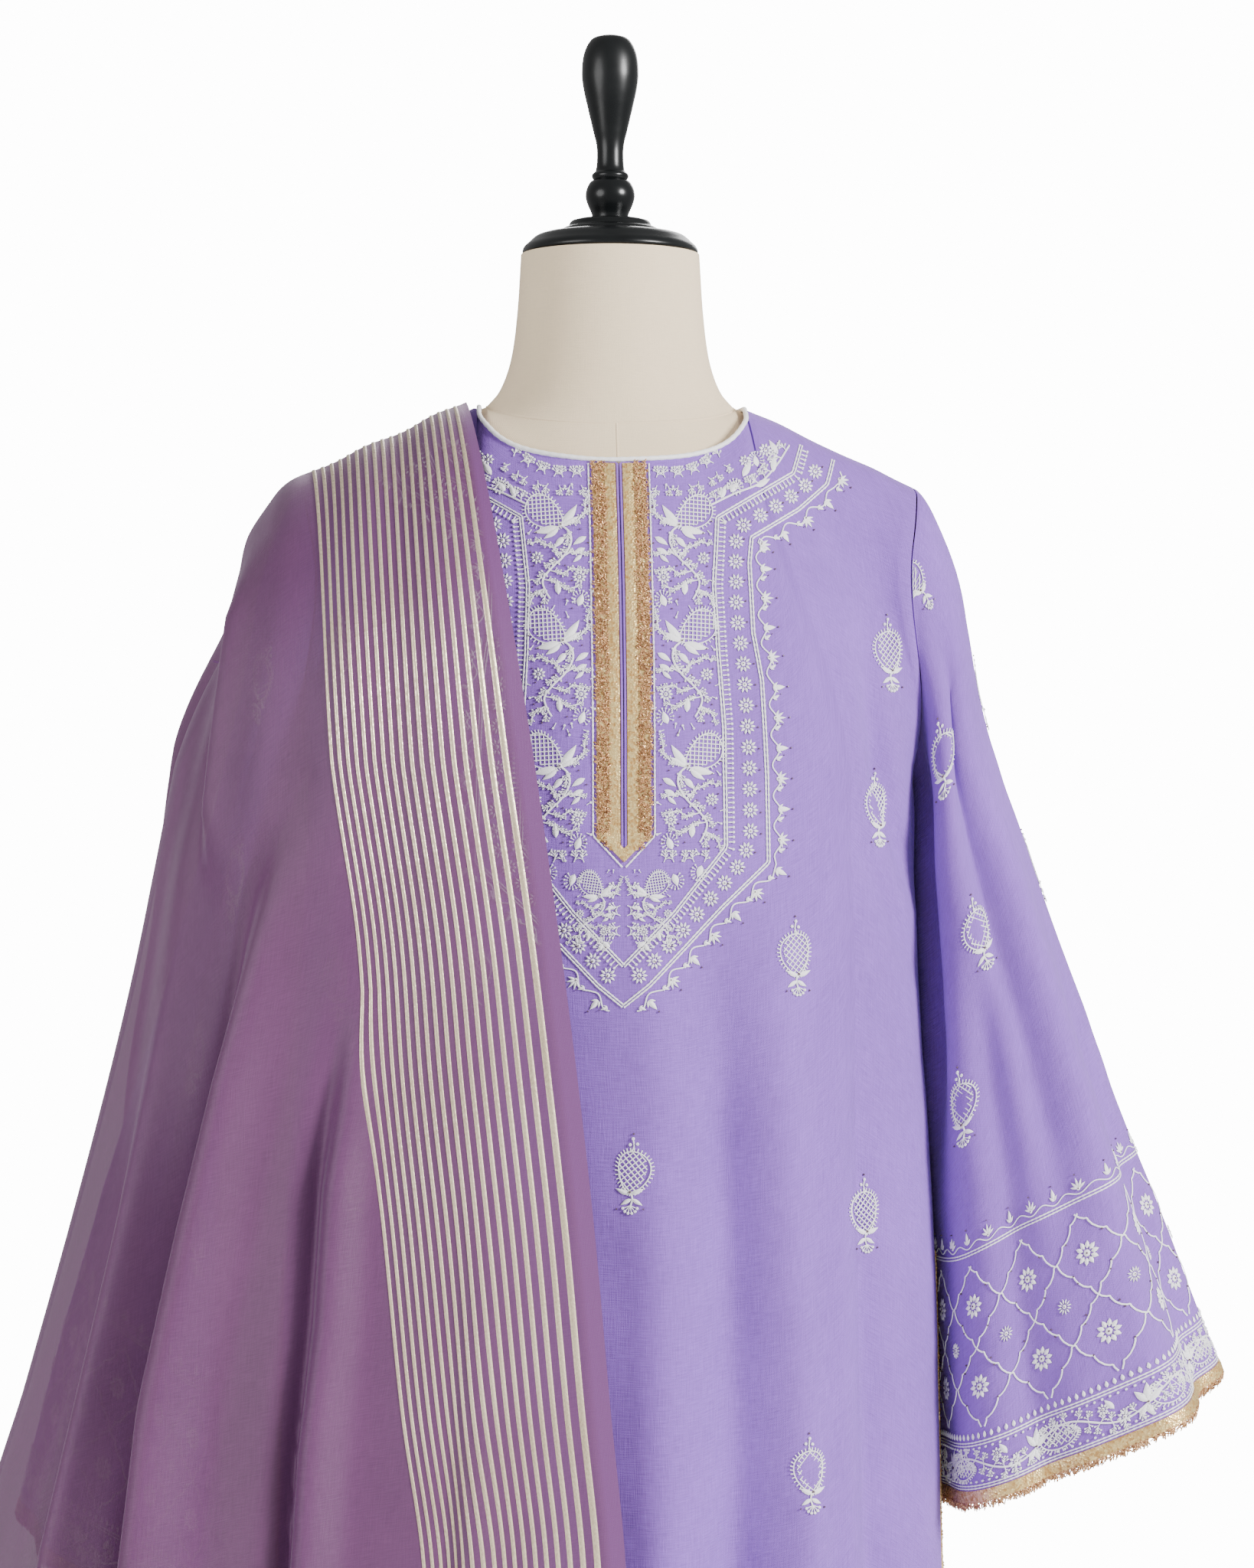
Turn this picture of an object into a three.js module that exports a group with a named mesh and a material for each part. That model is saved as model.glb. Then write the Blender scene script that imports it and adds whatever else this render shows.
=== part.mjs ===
// A kurta set on a dress form: a bell-sleeved cotton kurta with a sheer dupatta over one shoulder.
// Millimetres, +Z up, +X to the viewer's right. The garment's front faces -Y, and the origin is on
// the floor under the middle of the stand. "left" and "right" are the viewer's.
// Every cloth piece is a thin wall: a grid of points on its face, and the same grid moved inwards.
import * as THREE from "three";
import { mergeVertices } from "three/addons/utils/BufferGeometryUtils.js";

const { clamp, lerp, smoothstep } = THREE.MathUtils;

// Walls and clearances
const CLOTH = 1.5;
const DUPATTA_WALL = 1.2;
const LACE = 1.1;
const HALF_SEAM = 0.2;
const CLOTH_OFF_FORM = 0.7;
const LACE_OFF_CLOTH = 0.35;
const SLEEVE_OFF_ARMHOLE = 0.9;
const YOKE_LIFT = 2.5; // how far the yoke clears the form once it has left the shoulder line

// Heights
const CHEST_Z = 1176;
const HEM_Z = 320;
const SLIT_TOP_Z = 870;
const FORM_FOOT_Z = 715;
const NECK_TOP_Z = 1494.7;
const BASE_TOP_Z = 12;

// Neck and shoulders of the form
const NECK_SIDE = { x: 77, z: 1400.1 };
const SHOULDER_TIP = { x: 188.2, z: 1349.2 };
const NECK_BASE_DEPTH = { front: 64, back: 66 };
const NECK_BASE_DROP = { front: 15, back: 4 };
const NECK_SHARE = 0.467; // share of the half width that belongs to the neck
const ARMHOLE_DEPTH = 46;
const ARMHOLE_EASE = 5; // how much deeper the cloth's armhole is
const SQUARENESS = 2.3; // 2 is an ellipse

// Neckline and front slit of the kurta
const NECKLINE_SHARE = 0.488;
const NECKLINE_DEPTH = { front: 0.13, back: 0.075 };
const PIPING_RADIUS = 1.5;
const FRONT_SLIT_END_Z = 1140;
const FRONT_SLIT_TURN = 0.0045;
const PLACKET_POINT_Z = 1121;
const PLACKET_HALF = 16.5;
const PLACKET_SLIT_HALF = 2.6;

// Side slits and lace
const SLIT_SPREAD = { front: 7, back: 13 };
const SLIT_LACE_TURN = 0.045;
const CUFF_LACE_SHARE = { from: 0.982, to: 1.008 };

// Grid steps
const YOKE_ROWS = 12;
const SKIRT_ROWS = 9;
const HALF_TURNS = [0, 0.1, 0.2, 0.29, 0.37, 0.435, NECK_SHARE, NECKLINE_SHARE, 0.58, 0.7, 0.82, 0.92, 1];
const SLEEVE_ROWS = 11;
const DUPATTA_COLUMNS = 26;
const DUPATTA_YOKE_ROWS = 6;
const DUPATTA_FALL_ROWS = 7;
const TRUNK_ROWS = 8;
const PIPING_SIDES = 6;

// Half width, front depth and back depth of the form below the chest
const FORM = [
  { z: 715, half: 138, front: 90, back: 88 },
  { z: 740, half: 158, front: 104, back: 103 },
  { z: 810, half: 165, front: 109, back: 108 },
  { z: 870, half: 157, front: 107, back: 105 },
  { z: 940, half: 133, front: 101, back: 91 },
  { z: 1010, half: 118, front: 100, back: 79 },
  { z: 1070, half: 130, front: 112, back: 86 },
  { z: 1130, half: 146, front: 126, back: 96 },
  { z: 1176, half: 151, front: 125, back: 100 },
];

// The same three sizes of the kurta
const KURTA = [
  { z: 320, half: 222, front: 141, back: 134 },
  { z: 500, half: 213, front: 134, back: 128 },
  { z: 678, half: 206, front: 128, back: 122 },
  { z: 780, half: 204, front: 125, back: 120 },
  { z: 870, half: 202, front: 123, back: 117 },
  { z: 930, half: 199, front: 122, back: 112 },
  { z: 1000, half: 194, front: 124, back: 106 },
  { z: 1060, half: 191, front: 128, back: 104 },
  { z: 1130, half: 188, front: 133, back: 105 },
  { z: 1176, half: 187, front: 131, back: 107 },
];

// The neck's share of its height, with its half width and its front and back depth
const NECK = [
  { rise: 0, side: 77, front: 64, back: 66 },
  { rise: 0.1, side: 69, front: 61, back: 62 },
  { rise: 0.3, side: 62, front: 58.5, back: 59 },
  { rise: 0.6, side: 58, front: 57, back: 57.5 },
  { rise: 1, side: 55.5, front: 55.5, back: 55.5 },
];

// The sleeves by share of their length: the outer line, the underarm line and half the depth
const SLEEVE_RIGHT = [
  { share: 0, outX: 189, outZ: 1351, inX: 187, inZ: 1176, depth: 47 },
  { share: 0.04, outX: 204, outZ: 1339, inX: 190, inZ: 1164, depth: 52 },
  { share: 0.1, outX: 215, outZ: 1308, inX: 197, inZ: 1147, depth: 56 },
  { share: 0.18, outX: 222, outZ: 1266, inX: 203, inZ: 1112, depth: 60 },
  { share: 0.28, outX: 232, outZ: 1213, inX: 206, inZ: 1063, depth: 62 },
  { share: 0.4, outX: 253, outZ: 1146, inX: 208, inZ: 1000, depth: 64 },
  { share: 0.54, outX: 281, outZ: 1069, inX: 209, inZ: 928, depth: 68 },
  { share: 0.7, outX: 312, outZ: 982, inX: 211, inZ: 850, depth: 73 },
  { share: 0.86, outX: 348, outZ: 884, inX: 213, inZ: 772, depth: 79 },
  { share: 1, outX: 382, outZ: 796, inX: 214, inZ: 719, depth: 84 },
];
const SLEEVE_LEFT = [
  { share: 0, outX: 189, outZ: 1351, inX: 187, inZ: 1176, depth: 47 },
  { share: 0.04, outX: 203, outZ: 1338, inX: 191, inZ: 1164, depth: 52 },
  { share: 0.1, outX: 214, outZ: 1308, inX: 199, inZ: 1146, depth: 57 },
  { share: 0.18, outX: 220, outZ: 1266, inX: 212, inZ: 1110, depth: 62 },
  { share: 0.28, outX: 231, outZ: 1211, inX: 226, inZ: 1060, depth: 68 },
  { share: 0.4, outX: 249, outZ: 1136, inX: 236, inZ: 992, depth: 73 },
  { share: 0.54, outX: 272, outZ: 1050, inX: 241, inZ: 915, depth: 77 },
  { share: 0.7, outX: 302, outZ: 948, inX: 243, inZ: 828, depth: 81 },
  { share: 0.86, outX: 336, outZ: 828, inX: 243, inZ: 727, depth: 85 },
  { share: 1, outX: 363, outZ: 716, inX: 241, inZ: 645, depth: 88 },
];
const SLEEVE_FLUTES = 5;
const FLUTE_HEIGHT = 5;

// The dupatta where it crosses the shoulder, by share of its width from the neck outwards
const DUPATTA_RIDGE = [
  { share: 0, x: 88.5, z: 1400.3 },
  { share: 0.16, x: 120, z: 1385.1 },
  { share: 0.32, x: 154, z: 1369.5 },
  { share: 0.46, x: 184, z: 1355.8 },
  { share: 0.56, x: 204, z: 1344 },
  { share: 0.68, x: 220, z: 1318 },
  { share: 0.84, x: 229, z: 1278 },
  { share: 1, x: 237, z: 1240 },
];
const DUPATTA_RIDGE_Y = 4;

// The dupatta's falls: inner edge, outer line, depth in front of or behind the stand's middle,
// how far round it reaches in degrees, and the height of its folds
const DUPATTA_FRONT = [
  { z: 190, inner: -14, outer: 412, depth: 166, reach: 90, fold: 22 },
  { z: 450, inner: -10, outer: 402, depth: 158, reach: 90, fold: 20 },
  { z: 706, inner: 0, outer: 381, depth: 149, reach: 90, fold: 17 },
  { z: 801, inner: 9, outer: 354, depth: 147, reach: 90, fold: 16 },
  { z: 902, inner: 18, outer: 326, depth: 146, reach: 90, fold: 15 },
  { z: 992, inner: 28, outer: 303, depth: 146, reach: 90, fold: 14 },
  { z: 1084, inner: 40, outer: 282, depth: 148, reach: 90, fold: 13 },
  { z: 1176, inner: 53, outer: 264, depth: 147, reach: 90, fold: 12 },
];
const DUPATTA_BACK = [
  { z: 220, inner: 22, outer: 412, depth: 168, reach: 56, fold: 22 },
  { z: 450, inner: 30, outer: 402, depth: 158, reach: 58, fold: 20 },
  { z: 706, inner: 40, outer: 378, depth: 146, reach: 60, fold: 17 },
  { z: 801, inner: 44, outer: 352, depth: 140, reach: 62, fold: 16 },
  { z: 902, inner: 48, outer: 326, depth: 134, reach: 66, fold: 15 },
  { z: 992, inner: 52, outer: 303, depth: 128, reach: 72, fold: 14 },
  { z: 1084, inner: 56, outer: 281, depth: 124, reach: 76, fold: 13 },
  { z: 1176, inner: 62, outer: 261, depth: 124, reach: 85, fold: 12 },
];
const DUPATTA_SQUARENESS = 2.6;
const DUPATTA_FOLDS = 5;
const DUPATTA_RIDGE_FOLD = 14;
const DUPATTA_LIFT = 5;

// Turned wood on top of the neck: radius and height up the axis
const CAP_PROFILE = [
  [0, 1495],
  [53, 1495],
  [54.6, 1497.2],
  [52.4, 1501],
  [46, 1507.6],
  [31, 1509.6],
  [26, 1512.4],
  [22, 1516.4],
  [0, 1516.4],
];
const FINIAL_PROFILE = [
  [0, 1516.7],
  [10.9, 1516.7],
  [11.6, 1520.5],
  [15.3, 1530.8],
  [12.6, 1540],
  [10.4, 1541.6],
  [11.4, 1543.4],
  [9, 1547.5],
  [8.2, 1557.9],
  [10.4, 1571],
  [14.4, 1588],
  [17.7, 1607.9],
  [16.4, 1620],
  [12, 1628.6],
  [0, 1631.7],
];

// The stand under the form: radius and height
const POLE_RADIUS = 12.5;
const COLLAR_RADIUS = 24;
const COLLAR_TOP_Z = 42;
const BASE_RADIUS = 180;
const BASE_PROFILE = [
  [0, 0],
  [BASE_RADIUS - 1.5, 0],
  [BASE_RADIUS, 1.5],
  [BASE_RADIUS, 8.5],
  [BASE_RADIUS - 6, BASE_TOP_Z],
  [COLLAR_RADIUS, BASE_TOP_Z],
  [COLLAR_RADIUS, COLLAR_TOP_Z - 4],
  [COLLAR_RADIUS - 4, COLLAR_TOP_Z],
  [0, COLLAR_TOP_Z],
];

const FINISH = {
  kurta: { color: 0xb49be0, roughness: 0.85 },
  piping: { color: 0xf2eef8, roughness: 0.8 },
  lace: { color: 0xc79a4e, roughness: 0.45, metalness: 0.6 },
  dupatta: { color: 0x6e3f7c, roughness: 0.5 },
  linen: { color: 0xe4dac6, roughness: 0.9 },
  lacquer: { color: 0x15191b, roughness: 0.3 },
};

// Every column of a table at one value of its key, smooth through the rows
function look(rows, key, value) {
  const last = rows.length - 1;
  const at = clamp(value, rows[0][key], rows[last][key]);
  const i = clamp(rows.findIndex((row) => row[key] >= at) - 1, 0, last - 1);
  const [before, a, b, after] = [-1, 0, 1, 2].map((k) => rows[clamp(i + k, 0, last)]);
  const span = b[key] - a[key];
  const t = (at - a[key]) / span;
  const found = {};
  for (const column of Object.keys(a)) {
    const slopeA = ((b[column] - before[column]) / (b[key] - before[key])) * span;
    const slopeB = ((after[column] - a[column]) / (after[key] - a[key])) * span;
    const rise = b[column] - a[column];
    found[column] =
      a[column] +
      t * slopeA +
      t * t * (3 * rise - 2 * slopeA - slopeB) +
      t * t * t * (slopeA + slopeB - 2 * rise);
  }
  return found;
}

const signedPower = (value, power) => Math.sign(value) * Math.abs(value) ** power;
const positive = (value) => Math.max(value, 0);
const steps = (count) => Array.from({ length: count + 1 }, (_, i) => i / count);
const easedSteps = (count) => steps(count).map((t) => (1 - Math.cos(Math.PI * t)) / 2);

// A point of a horizontal section; turn is -1 at the left side seam, 0 in the middle, 1 at the right
function sectionPoint(rows, side, turn, z) {
  const { half, front, back } = look(rows, "z", z);
  const angle = (turn * Math.PI) / 2;
  const depth = side < 0 ? front : back;
  const power = 2 / SQUARENESS;
  return new THREE.Vector3(
    half * signedPower(Math.sin(angle), power),
    side * depth * positive(Math.cos(angle)) ** power,
    z,
  );
}

// The form's top line: round the base of the neck, then out along the shoulder
function formTop(side, turn) {
  const across = Math.abs(turn);
  const sign = Math.sign(turn) || 1;
  const name = side < 0 ? "front" : "back";
  if (across < NECK_SHARE) {
    const angle = (across / NECK_SHARE) * (Math.PI / 2);
    return new THREE.Vector3(
      sign * NECK_SIDE.x * Math.sin(angle),
      side * NECK_BASE_DEPTH[name] * Math.cos(angle),
      NECK_SIDE.z - NECK_BASE_DROP[name] * Math.cos(angle),
    );
  }
  const out = (across - NECK_SHARE) / (1 - NECK_SHARE);
  const x = sign * lerp(NECK_SIDE.x, SHOULDER_TIP.x, out);
  return new THREE.Vector3(x, 0, lerp(NECK_SIDE.z, SHOULDER_TIP.z, out));
}

// How far the armhole's edge bows, as a share of its depth
const armholeSwell = (turn, down) =>
  positive(Math.sin(Math.PI * down)) ** 0.6 * Math.abs(turn) ** 6;

// The form between that line (down = 0) and the chest (down = 1), rounded over the shoulder
function formUpper(side, turn, down) {
  const across = Math.abs(turn);
  const top = formTop(side, turn);
  const chest = sectionPoint(FORM, side, turn, CHEST_Z);
  const shoulder = smoothstep(across, 0.15, NECK_SHARE);
  const round = (1 - (1 - down) ** lerp(1.8, 2.2, shoulder)) ** lerp(1, 0.55, shoulder);
  const swell = armholeSwell(turn, down);
  const point = top.clone().lerp(chest, down);
  point.y = lerp(top.y, chest.y, round) + side * ARMHOLE_DEPTH * swell;
  return point;
}

// The outward direction of a surface of (turn, down), level with the shoulder along its ridge
function outward(surface, side, turn, down) {
  const step = 1e-4;
  const across = surface(side, clamp(turn + step, -1, 1), down);
  across.sub(surface(side, clamp(turn - step, -1, 1), down));
  const along = surface(side, turn, clamp(down + step, 0, 1));
  along.sub(surface(side, turn, clamp(down - step, 0, 1)));
  const normal = across.cross(along).multiplyScalar(side);
  if (down === 0 && Math.abs(turn) >= NECK_SHARE) normal.y = 0;
  return normal.normalize();
}

// The kurta's upper half: it lies on the form at the neck and shoulders and stands off at the chest
function kurtaUpper(side, turn, down) {
  const off = CLOTH_OFF_FORM + CLOTH;
  const lift = YOKE_LIFT * smoothstep(down, 0, 0.04) * (1 - down * down);
  const point = formUpper(side, turn, down);
  point.addScaledVector(outward(formUpper, side, turn, down), off + lift);
  const chest = formUpper(side, turn, 1).addScaledVector(outward(formUpper, side, turn, 1), off);
  const ease = sectionPoint(KURTA, side, turn, CHEST_Z).sub(chest);
  point.y += side * ARMHOLE_EASE * armholeSwell(turn, down);
  return point.addScaledVector(ease, smoothstep(down, 0.22, 1));
}

// The kurta below the chest, with soft folds that grow towards the hem and side slits that part
function kurtaLower(side, turn, z) {
  const point = sectionPoint(KURTA, side, turn, z);
  const grown = (CHEST_Z - z) / (CHEST_Z - HEM_Z);
  const wave = Math.cos(Math.PI * (5 * turn + 0.35 * side)) + 0.5 * Math.cos(Math.PI * 8 * turn);
  point.y += side * 5.5 * grown * wave * (1 - turn ** 4);
  const parted = positive(SLIT_TOP_Z - z) / (SLIT_TOP_Z - HEM_Z);
  point.y += side * SLIT_SPREAD[side < 0 ? "front" : "back"] * parted * Math.abs(turn) ** 12;
  return point;
}

// Where the neckline cuts a column of the upper half
function necklineDown(side, turn) {
  const share = clamp(Math.abs(turn) / NECKLINE_SHARE, 0, 1);
  return NECKLINE_DEPTH[side < 0 ? "front" : "back"] * Math.sqrt(1 - share * share);
}

const skirtHeights = () => {
  const above = steps(3).map((t) => lerp(CHEST_Z, SLIT_TOP_Z, t));
  const below = steps(SKIRT_ROWS - 3).map((t) => lerp(SLIT_TOP_Z, HEM_Z, t));
  return [...above.slice(1), ...below.slice(1)];
};

// Grids of a panel: rows from the top edge to the hem, columns from left to right
function panelTurns(split) {
  const right = HALF_TURNS.slice(1);
  if (split) right.unshift(FRONT_SLIT_TURN);
  const left = right.map((turn) => -turn).reverse();
  return split ? [...left, ...right] : [...left, 0, ...right];
}

function panelGrid(side, turns) {
  const shift = (point) => point.add(new THREE.Vector3(0, side * HALF_SEAM, 0));
  const upper = easedSteps(YOKE_ROWS).map((t) =>
    turns.map((turn) => {
      const top = necklineDown(side, turn);
      return shift(kurtaUpper(side, turn, top + (1 - top) * t));
    }),
  );
  const lower = skirtHeights().map((z) => turns.map((turn) => shift(kurtaLower(side, turn, z))));
  return [...upper, ...lower];
}

// Outward normals of a grid; wrapped says that its last column meets its first
function gridNormals(grid, wrapped, outwards) {
  const rows = grid.length;
  const columns = grid[0].length;
  return grid.map((row, j) =>
    row.map((_, i) => {
      const next = wrapped ? (i + 1) % columns : Math.min(i + 1, columns - 1);
      const previous = wrapped ? (i + columns - 1) % columns : Math.max(i - 1, 0);
      const across = row[next].clone().sub(row[previous]);
      const along = grid[Math.min(j + 1, rows - 1)][i].clone().sub(grid[Math.max(j - 1, 0)][i]);
      return across.cross(along).multiplyScalar(outwards).normalize();
    }),
  );
}

const moved = (grid, normals, distance) =>
  grid.map((row, j) => row.map((p, i) => p.clone().addScaledVector(normals[j][i], distance)));

// One closed geometry from triangles given as points: shared corners are merged, the volume is
// made positive
function closed(triangles) {
  const flat = new THREE.BufferGeometry().setFromPoints(triangles.flat());
  const merged = mergeVertices(flat, 1e-3);
  const position = merged.getAttribute("position");
  const corner = [new THREE.Vector3(), new THREE.Vector3(), new THREE.Vector3()];
  const kept = [];
  let volume = 0;
  for (let i = 0; i < merged.index.count; i += 3) {
    const ids = [0, 1, 2].map((k) => merged.index.getX(i + k));
    if (new Set(ids).size < 3) continue;
    ids.forEach((id, k) => corner[k].fromBufferAttribute(position, id));
    volume += corner[0].dot(corner[1].clone().cross(corner[2]));
    kept.push(ids);
  }
  merged.setIndex((volume < 0 ? kept.map(([a, b, c]) => [a, c, b]) : kept).flat());
  merged.computeVertexNormals();
  return merged;
}

const quad = (a, b, c, d) => [
  [a, b, c],
  [a, c, d],
];

// A wall between an outer and an inner grid. Cells that skip(row, column) names are left out, and
// every free edge is closed
function wall(outer, inner, wrapped = false, skip = () => false) {
  const rows = outer.length - 1;
  const points = outer[0].length;
  const cells = wrapped ? points : points - 1;
  const column = (i) => ((i % points) + points) % points;
  const open = (j, i) => {
    if (j < 0 || j >= rows) return true;
    if (!wrapped && (i < 0 || i >= cells)) return true;
    return skip(j, column(i));
  };
  const triangles = [];
  for (let j = 0; j < rows; j++)
    for (let i = 0; i < cells; i++) {
      if (skip(j, i)) continue;
      const k = column(i + 1);
      const [a, b, c, d] = [outer[j][i], outer[j][k], outer[j + 1][k], outer[j + 1][i]];
      const [e, f, g, h] = [inner[j][i], inner[j][k], inner[j + 1][k], inner[j + 1][i]];
      triangles.push(...quad(a, b, c, d), ...quad(e, h, g, f));
      if (open(j - 1, i)) triangles.push(...quad(a, e, f, b));
      if (open(j + 1, i)) triangles.push(...quad(d, c, g, h));
      if (open(j, i - 1)) triangles.push(...quad(a, d, h, e));
      if (open(j, i + 1)) triangles.push(...quad(b, f, g, c));
    }
  return closed(triangles);
}

function mesh(name, geometry, finish) {
  const made = new THREE.Mesh(geometry, new THREE.MeshStandardMaterial(FINISH[finish]));
  made.name = name;
  return made;
}

// Front and back panels: seam edges are moved straight in, so that the seams keep their gap
function panelWall(side, turns, grid, skip) {
  const normals = gridNormals(grid, false, side);
  grid.forEach((row, j) =>
    row.forEach((_, i) => {
      const onRidge = j === 0 && Math.abs(turns[i]) >= NECKLINE_SHARE;
      const onSide = j >= YOKE_ROWS && (i === 0 || i === row.length - 1);
      if (onRidge || onSide) normals[j][i].setY(0).normalize();
    }),
  );
  return { geometry: wall(grid, moved(grid, normals, -CLOTH), false, skip), normals };
}

function frontPanel() {
  const turns = panelTurns(true);
  const grid = panelGrid(-1, turns);
  const middle = turns.findIndex((turn) => turn > 0);
  const slit = (j, i) => i === middle - 1 && grid[j + 1][i].z > FRONT_SLIT_END_Z - 30;
  return { turns, grid, ...panelWall(-1, turns, grid, slit) };
}

function backPanel() {
  const turns = panelTurns(false);
  const grid = panelGrid(1, turns);
  return { turns, grid, ...panelWall(1, turns, grid) };
}

// The armhole as a ring: down the front from the shoulder to the underarm and up the back
function armholePoint(hand, step) {
  const front = step <= YOKE_ROWS;
  const down = easedSteps(YOKE_ROWS)[front ? step : 2 * YOKE_ROWS - step];
  const side = front ? -1 : 1;
  const point = kurtaUpper(side, hand, down);
  const beside = kurtaUpper(side, hand * 0.98, down);
  const away = point.clone().sub(beside).normalize();
  if (down === 0 || down === 1) {
    point.y = 0;
    away.y = 0;
  }
  return point.addScaledVector(away, SLEEVE_OFF_ARMHOLE);
}

// A sleeve's ring at a share of its length: the armhole at first, then a slanted oval with flutes
function sleeveRing(hand, table, share) {
  const at = look(table, "share", Math.min(share, 1));
  const beyond = positive(share - 1) * 600;
  const drop = new THREE.Vector3(hand * 0.25, 0, -0.97).multiplyScalar(beyond);
  const outer = new THREE.Vector3(hand * at.outX, 0, at.outZ);
  const under = new THREE.Vector3(hand * at.inX, 0, at.inZ);
  const middle = outer.clone().add(under).multiplyScalar(0.5);
  const reach = outer.clone().sub(under).multiplyScalar(0.5);
  const joined = smoothstep(share, 0, 0.16);
  const count = 2 * YOKE_ROWS;
  return Array.from({ length: count }, (_, i) => {
    const angle = (2 * Math.PI * i) / count;
    const flute = FLUTE_HEIGHT * share ** 2 * Math.cos(SLEEVE_FLUTES * angle + 0.6);
    const grown = 1 + flute / reach.length();
    const oval = middle.clone().addScaledVector(reach, Math.cos(angle) * grown);
    oval.y -= Math.sin(angle) * (at.depth + flute);
    return armholePoint(hand, i).lerp(oval, joined).add(drop);
  });
}

function sleeve(hand, table) {
  const shares = steps(SLEEVE_ROWS).map((t) => t ** 1.25);
  const grid = shares.map((share) => sleeveRing(hand, table, share));
  const normals = gridNormals(grid, true, hand);
  return wall(grid, moved(grid, normals, -CLOTH), true);
}

function cuffLace(hand, table) {
  const { from, to } = CUFF_LACE_SHARE;
  const shares = [from - 0.02, from, 1, to, to + 0.02];
  const around = shares.map((share) => sleeveRing(hand, table, share));
  const normals = gridNormals(around, true, hand).slice(1, -1);
  const grid = around.slice(1, -1);
  const outer = moved(grid, normals, LACE_OFF_CLOTH + LACE);
  return wall(outer, moved(grid, normals, LACE_OFF_CLOTH), true);
}

// Narrow lace on a side-slit edge, made from the panel's own rows moved out
function slitLace(side, hand) {
  const heights = skirtHeights().filter((z) => z <= SLIT_TOP_Z);
  const turns = [1 - SLIT_LACE_TURN, 1 - SLIT_LACE_TURN / 2, 1].map((turn) => turn * hand);
  if (hand < 0) turns.reverse();
  const grid = heights.map((z) => turns.map((turn) => kurtaLower(side, turn, z)));
  grid.flat().forEach((point) => point.setY(point.y + side * HALF_SEAM));
  const normals = gridNormals(grid, false, side);
  normals.flat().forEach((normal) => normal.setY(normal.y * 0.4).normalize());
  const outer = moved(grid, normals, LACE_OFF_CLOTH + LACE);
  return wall(outer, moved(grid, normals, LACE_OFF_CLOTH));
}

// The kurta's front at a distance x from the middle and a height z
function onFront(x, z) {
  if (z <= CHEST_Z) {
    const half = look(KURTA, "z", z).half;
    const turn = Math.asin(clamp(Math.abs(x) / half, 0, 1) ** (SQUARENESS / 2)) / (Math.PI / 2);
    return kurtaLower(-1, Math.sign(x) * turn, z);
  }
  let [turn, down] = [0, 0.5];
  for (let round = 0; round < 12; round++) {
    let [low, high] = [0, 1];
    for (let halving = 0; halving < 24; halving++) {
      turn = (low + high) / 2;
      if (kurtaUpper(-1, turn, down).x < Math.abs(x)) low = turn;
      else high = turn;
    }
    down = clamp(down + (kurtaUpper(-1, turn, down).z - z) / 200, 0, 1);
  }
  return kurtaUpper(-1, (Math.sign(x) || 1) * turn, down);
}

// The height of the neckline's edge at a distance x from the middle
function necklineZ(x) {
  const turn = (Math.asin(x / NECK_SIDE.x) / (Math.PI / 2)) * NECK_SHARE;
  return kurtaUpper(-1, turn, necklineDown(-1, turn)).z;
}

// Two strips of gold lace beside the front slit, mitred into a point below it
function placketLace() {
  const across = [-1, -0.58, -PLACKET_SLIT_HALF / PLACKET_HALF];
  const turns = [...across, ...across.map((share) => -share).reverse()];
  const grid = steps(15).map((t) =>
    turns.map((share) => {
      const x = share * PLACKET_HALF;
      const low = PLACKET_POINT_Z + (Math.abs(x) - PLACKET_SLIT_HALF) * 1.1;
      const point = onFront(x, lerp(necklineZ(x) - 0.3, low, t));
      return point.setY(point.y - HALF_SEAM);
    }),
  );
  const normals = gridNormals(grid, false, -1);
  const outer = moved(grid, normals, LACE_OFF_CLOTH + LACE);
  const slit = (j, i) => i === 2 && grid[j + 1][i].z > FRONT_SLIT_END_Z;
  return wall(outer, moved(grid, normals, LACE_OFF_CLOTH), false, slit);
}

// The corded edge: a thin tube beside the neckline's own points, open at the front slit
function neckPiping(front, back) {
  const edge = ({ grid, normals, turns }, from, to) =>
    turns
      .map((turn, i) => ({ turn, point: grid[0][i].clone(), up: normals[0][i] }))
      .filter(({ turn }) => turn >= from - 1e-6 && turn <= to + 1e-6);
  const right = edge(front, FRONT_SLIT_TURN, NECKLINE_SHARE);
  const behind = edge(back, -NECKLINE_SHARE, NECKLINE_SHARE).reverse();
  const left = edge(front, -NECKLINE_SHARE, -FRONT_SLIT_TURN);
  const path = [...right.slice(0, -1), ...behind, ...left.slice(1)];
  const rings = path.map(({ point, up }, i) => {
    const next = path[Math.min(i + 1, path.length - 1)].point;
    const previous = path[Math.max(i - 1, 0)].point;
    const along = next.clone().sub(previous).normalize();
    const toNeck = up.clone().cross(along).normalize();
    if (toNeck.x * point.x + toNeck.y * point.y > 0) toNeck.negate();
    const centre = point.clone().addScaledVector(toNeck, PIPING_RADIUS + 0.4);
    return steps(PIPING_SIDES - 1).map((_, k) => {
      const angle = (2 * Math.PI * k) / PIPING_SIDES;
      return centre
        .clone()
        .addScaledVector(toNeck, PIPING_RADIUS * Math.cos(angle))
        .addScaledVector(up, PIPING_RADIUS * Math.sin(angle));
    });
  });
  const middles = rings.map((ring) => {
    const sum = ring.reduce((total, point) => total.add(point), new THREE.Vector3());
    return ring.map(() => sum.clone().divideScalar(PIPING_SIDES));
  });
  return closed([...tubeFaces(rings), ...capFaces(rings, middles)]);
}

const tubeFaces = (rings) =>
  rings.slice(1).flatMap((ring, j) =>
    ring.flatMap((point, k) => {
      const next = (k + 1) % ring.length;
      return quad(rings[j][k], point, ring[next], rings[j][next]);
    }),
  );

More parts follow.
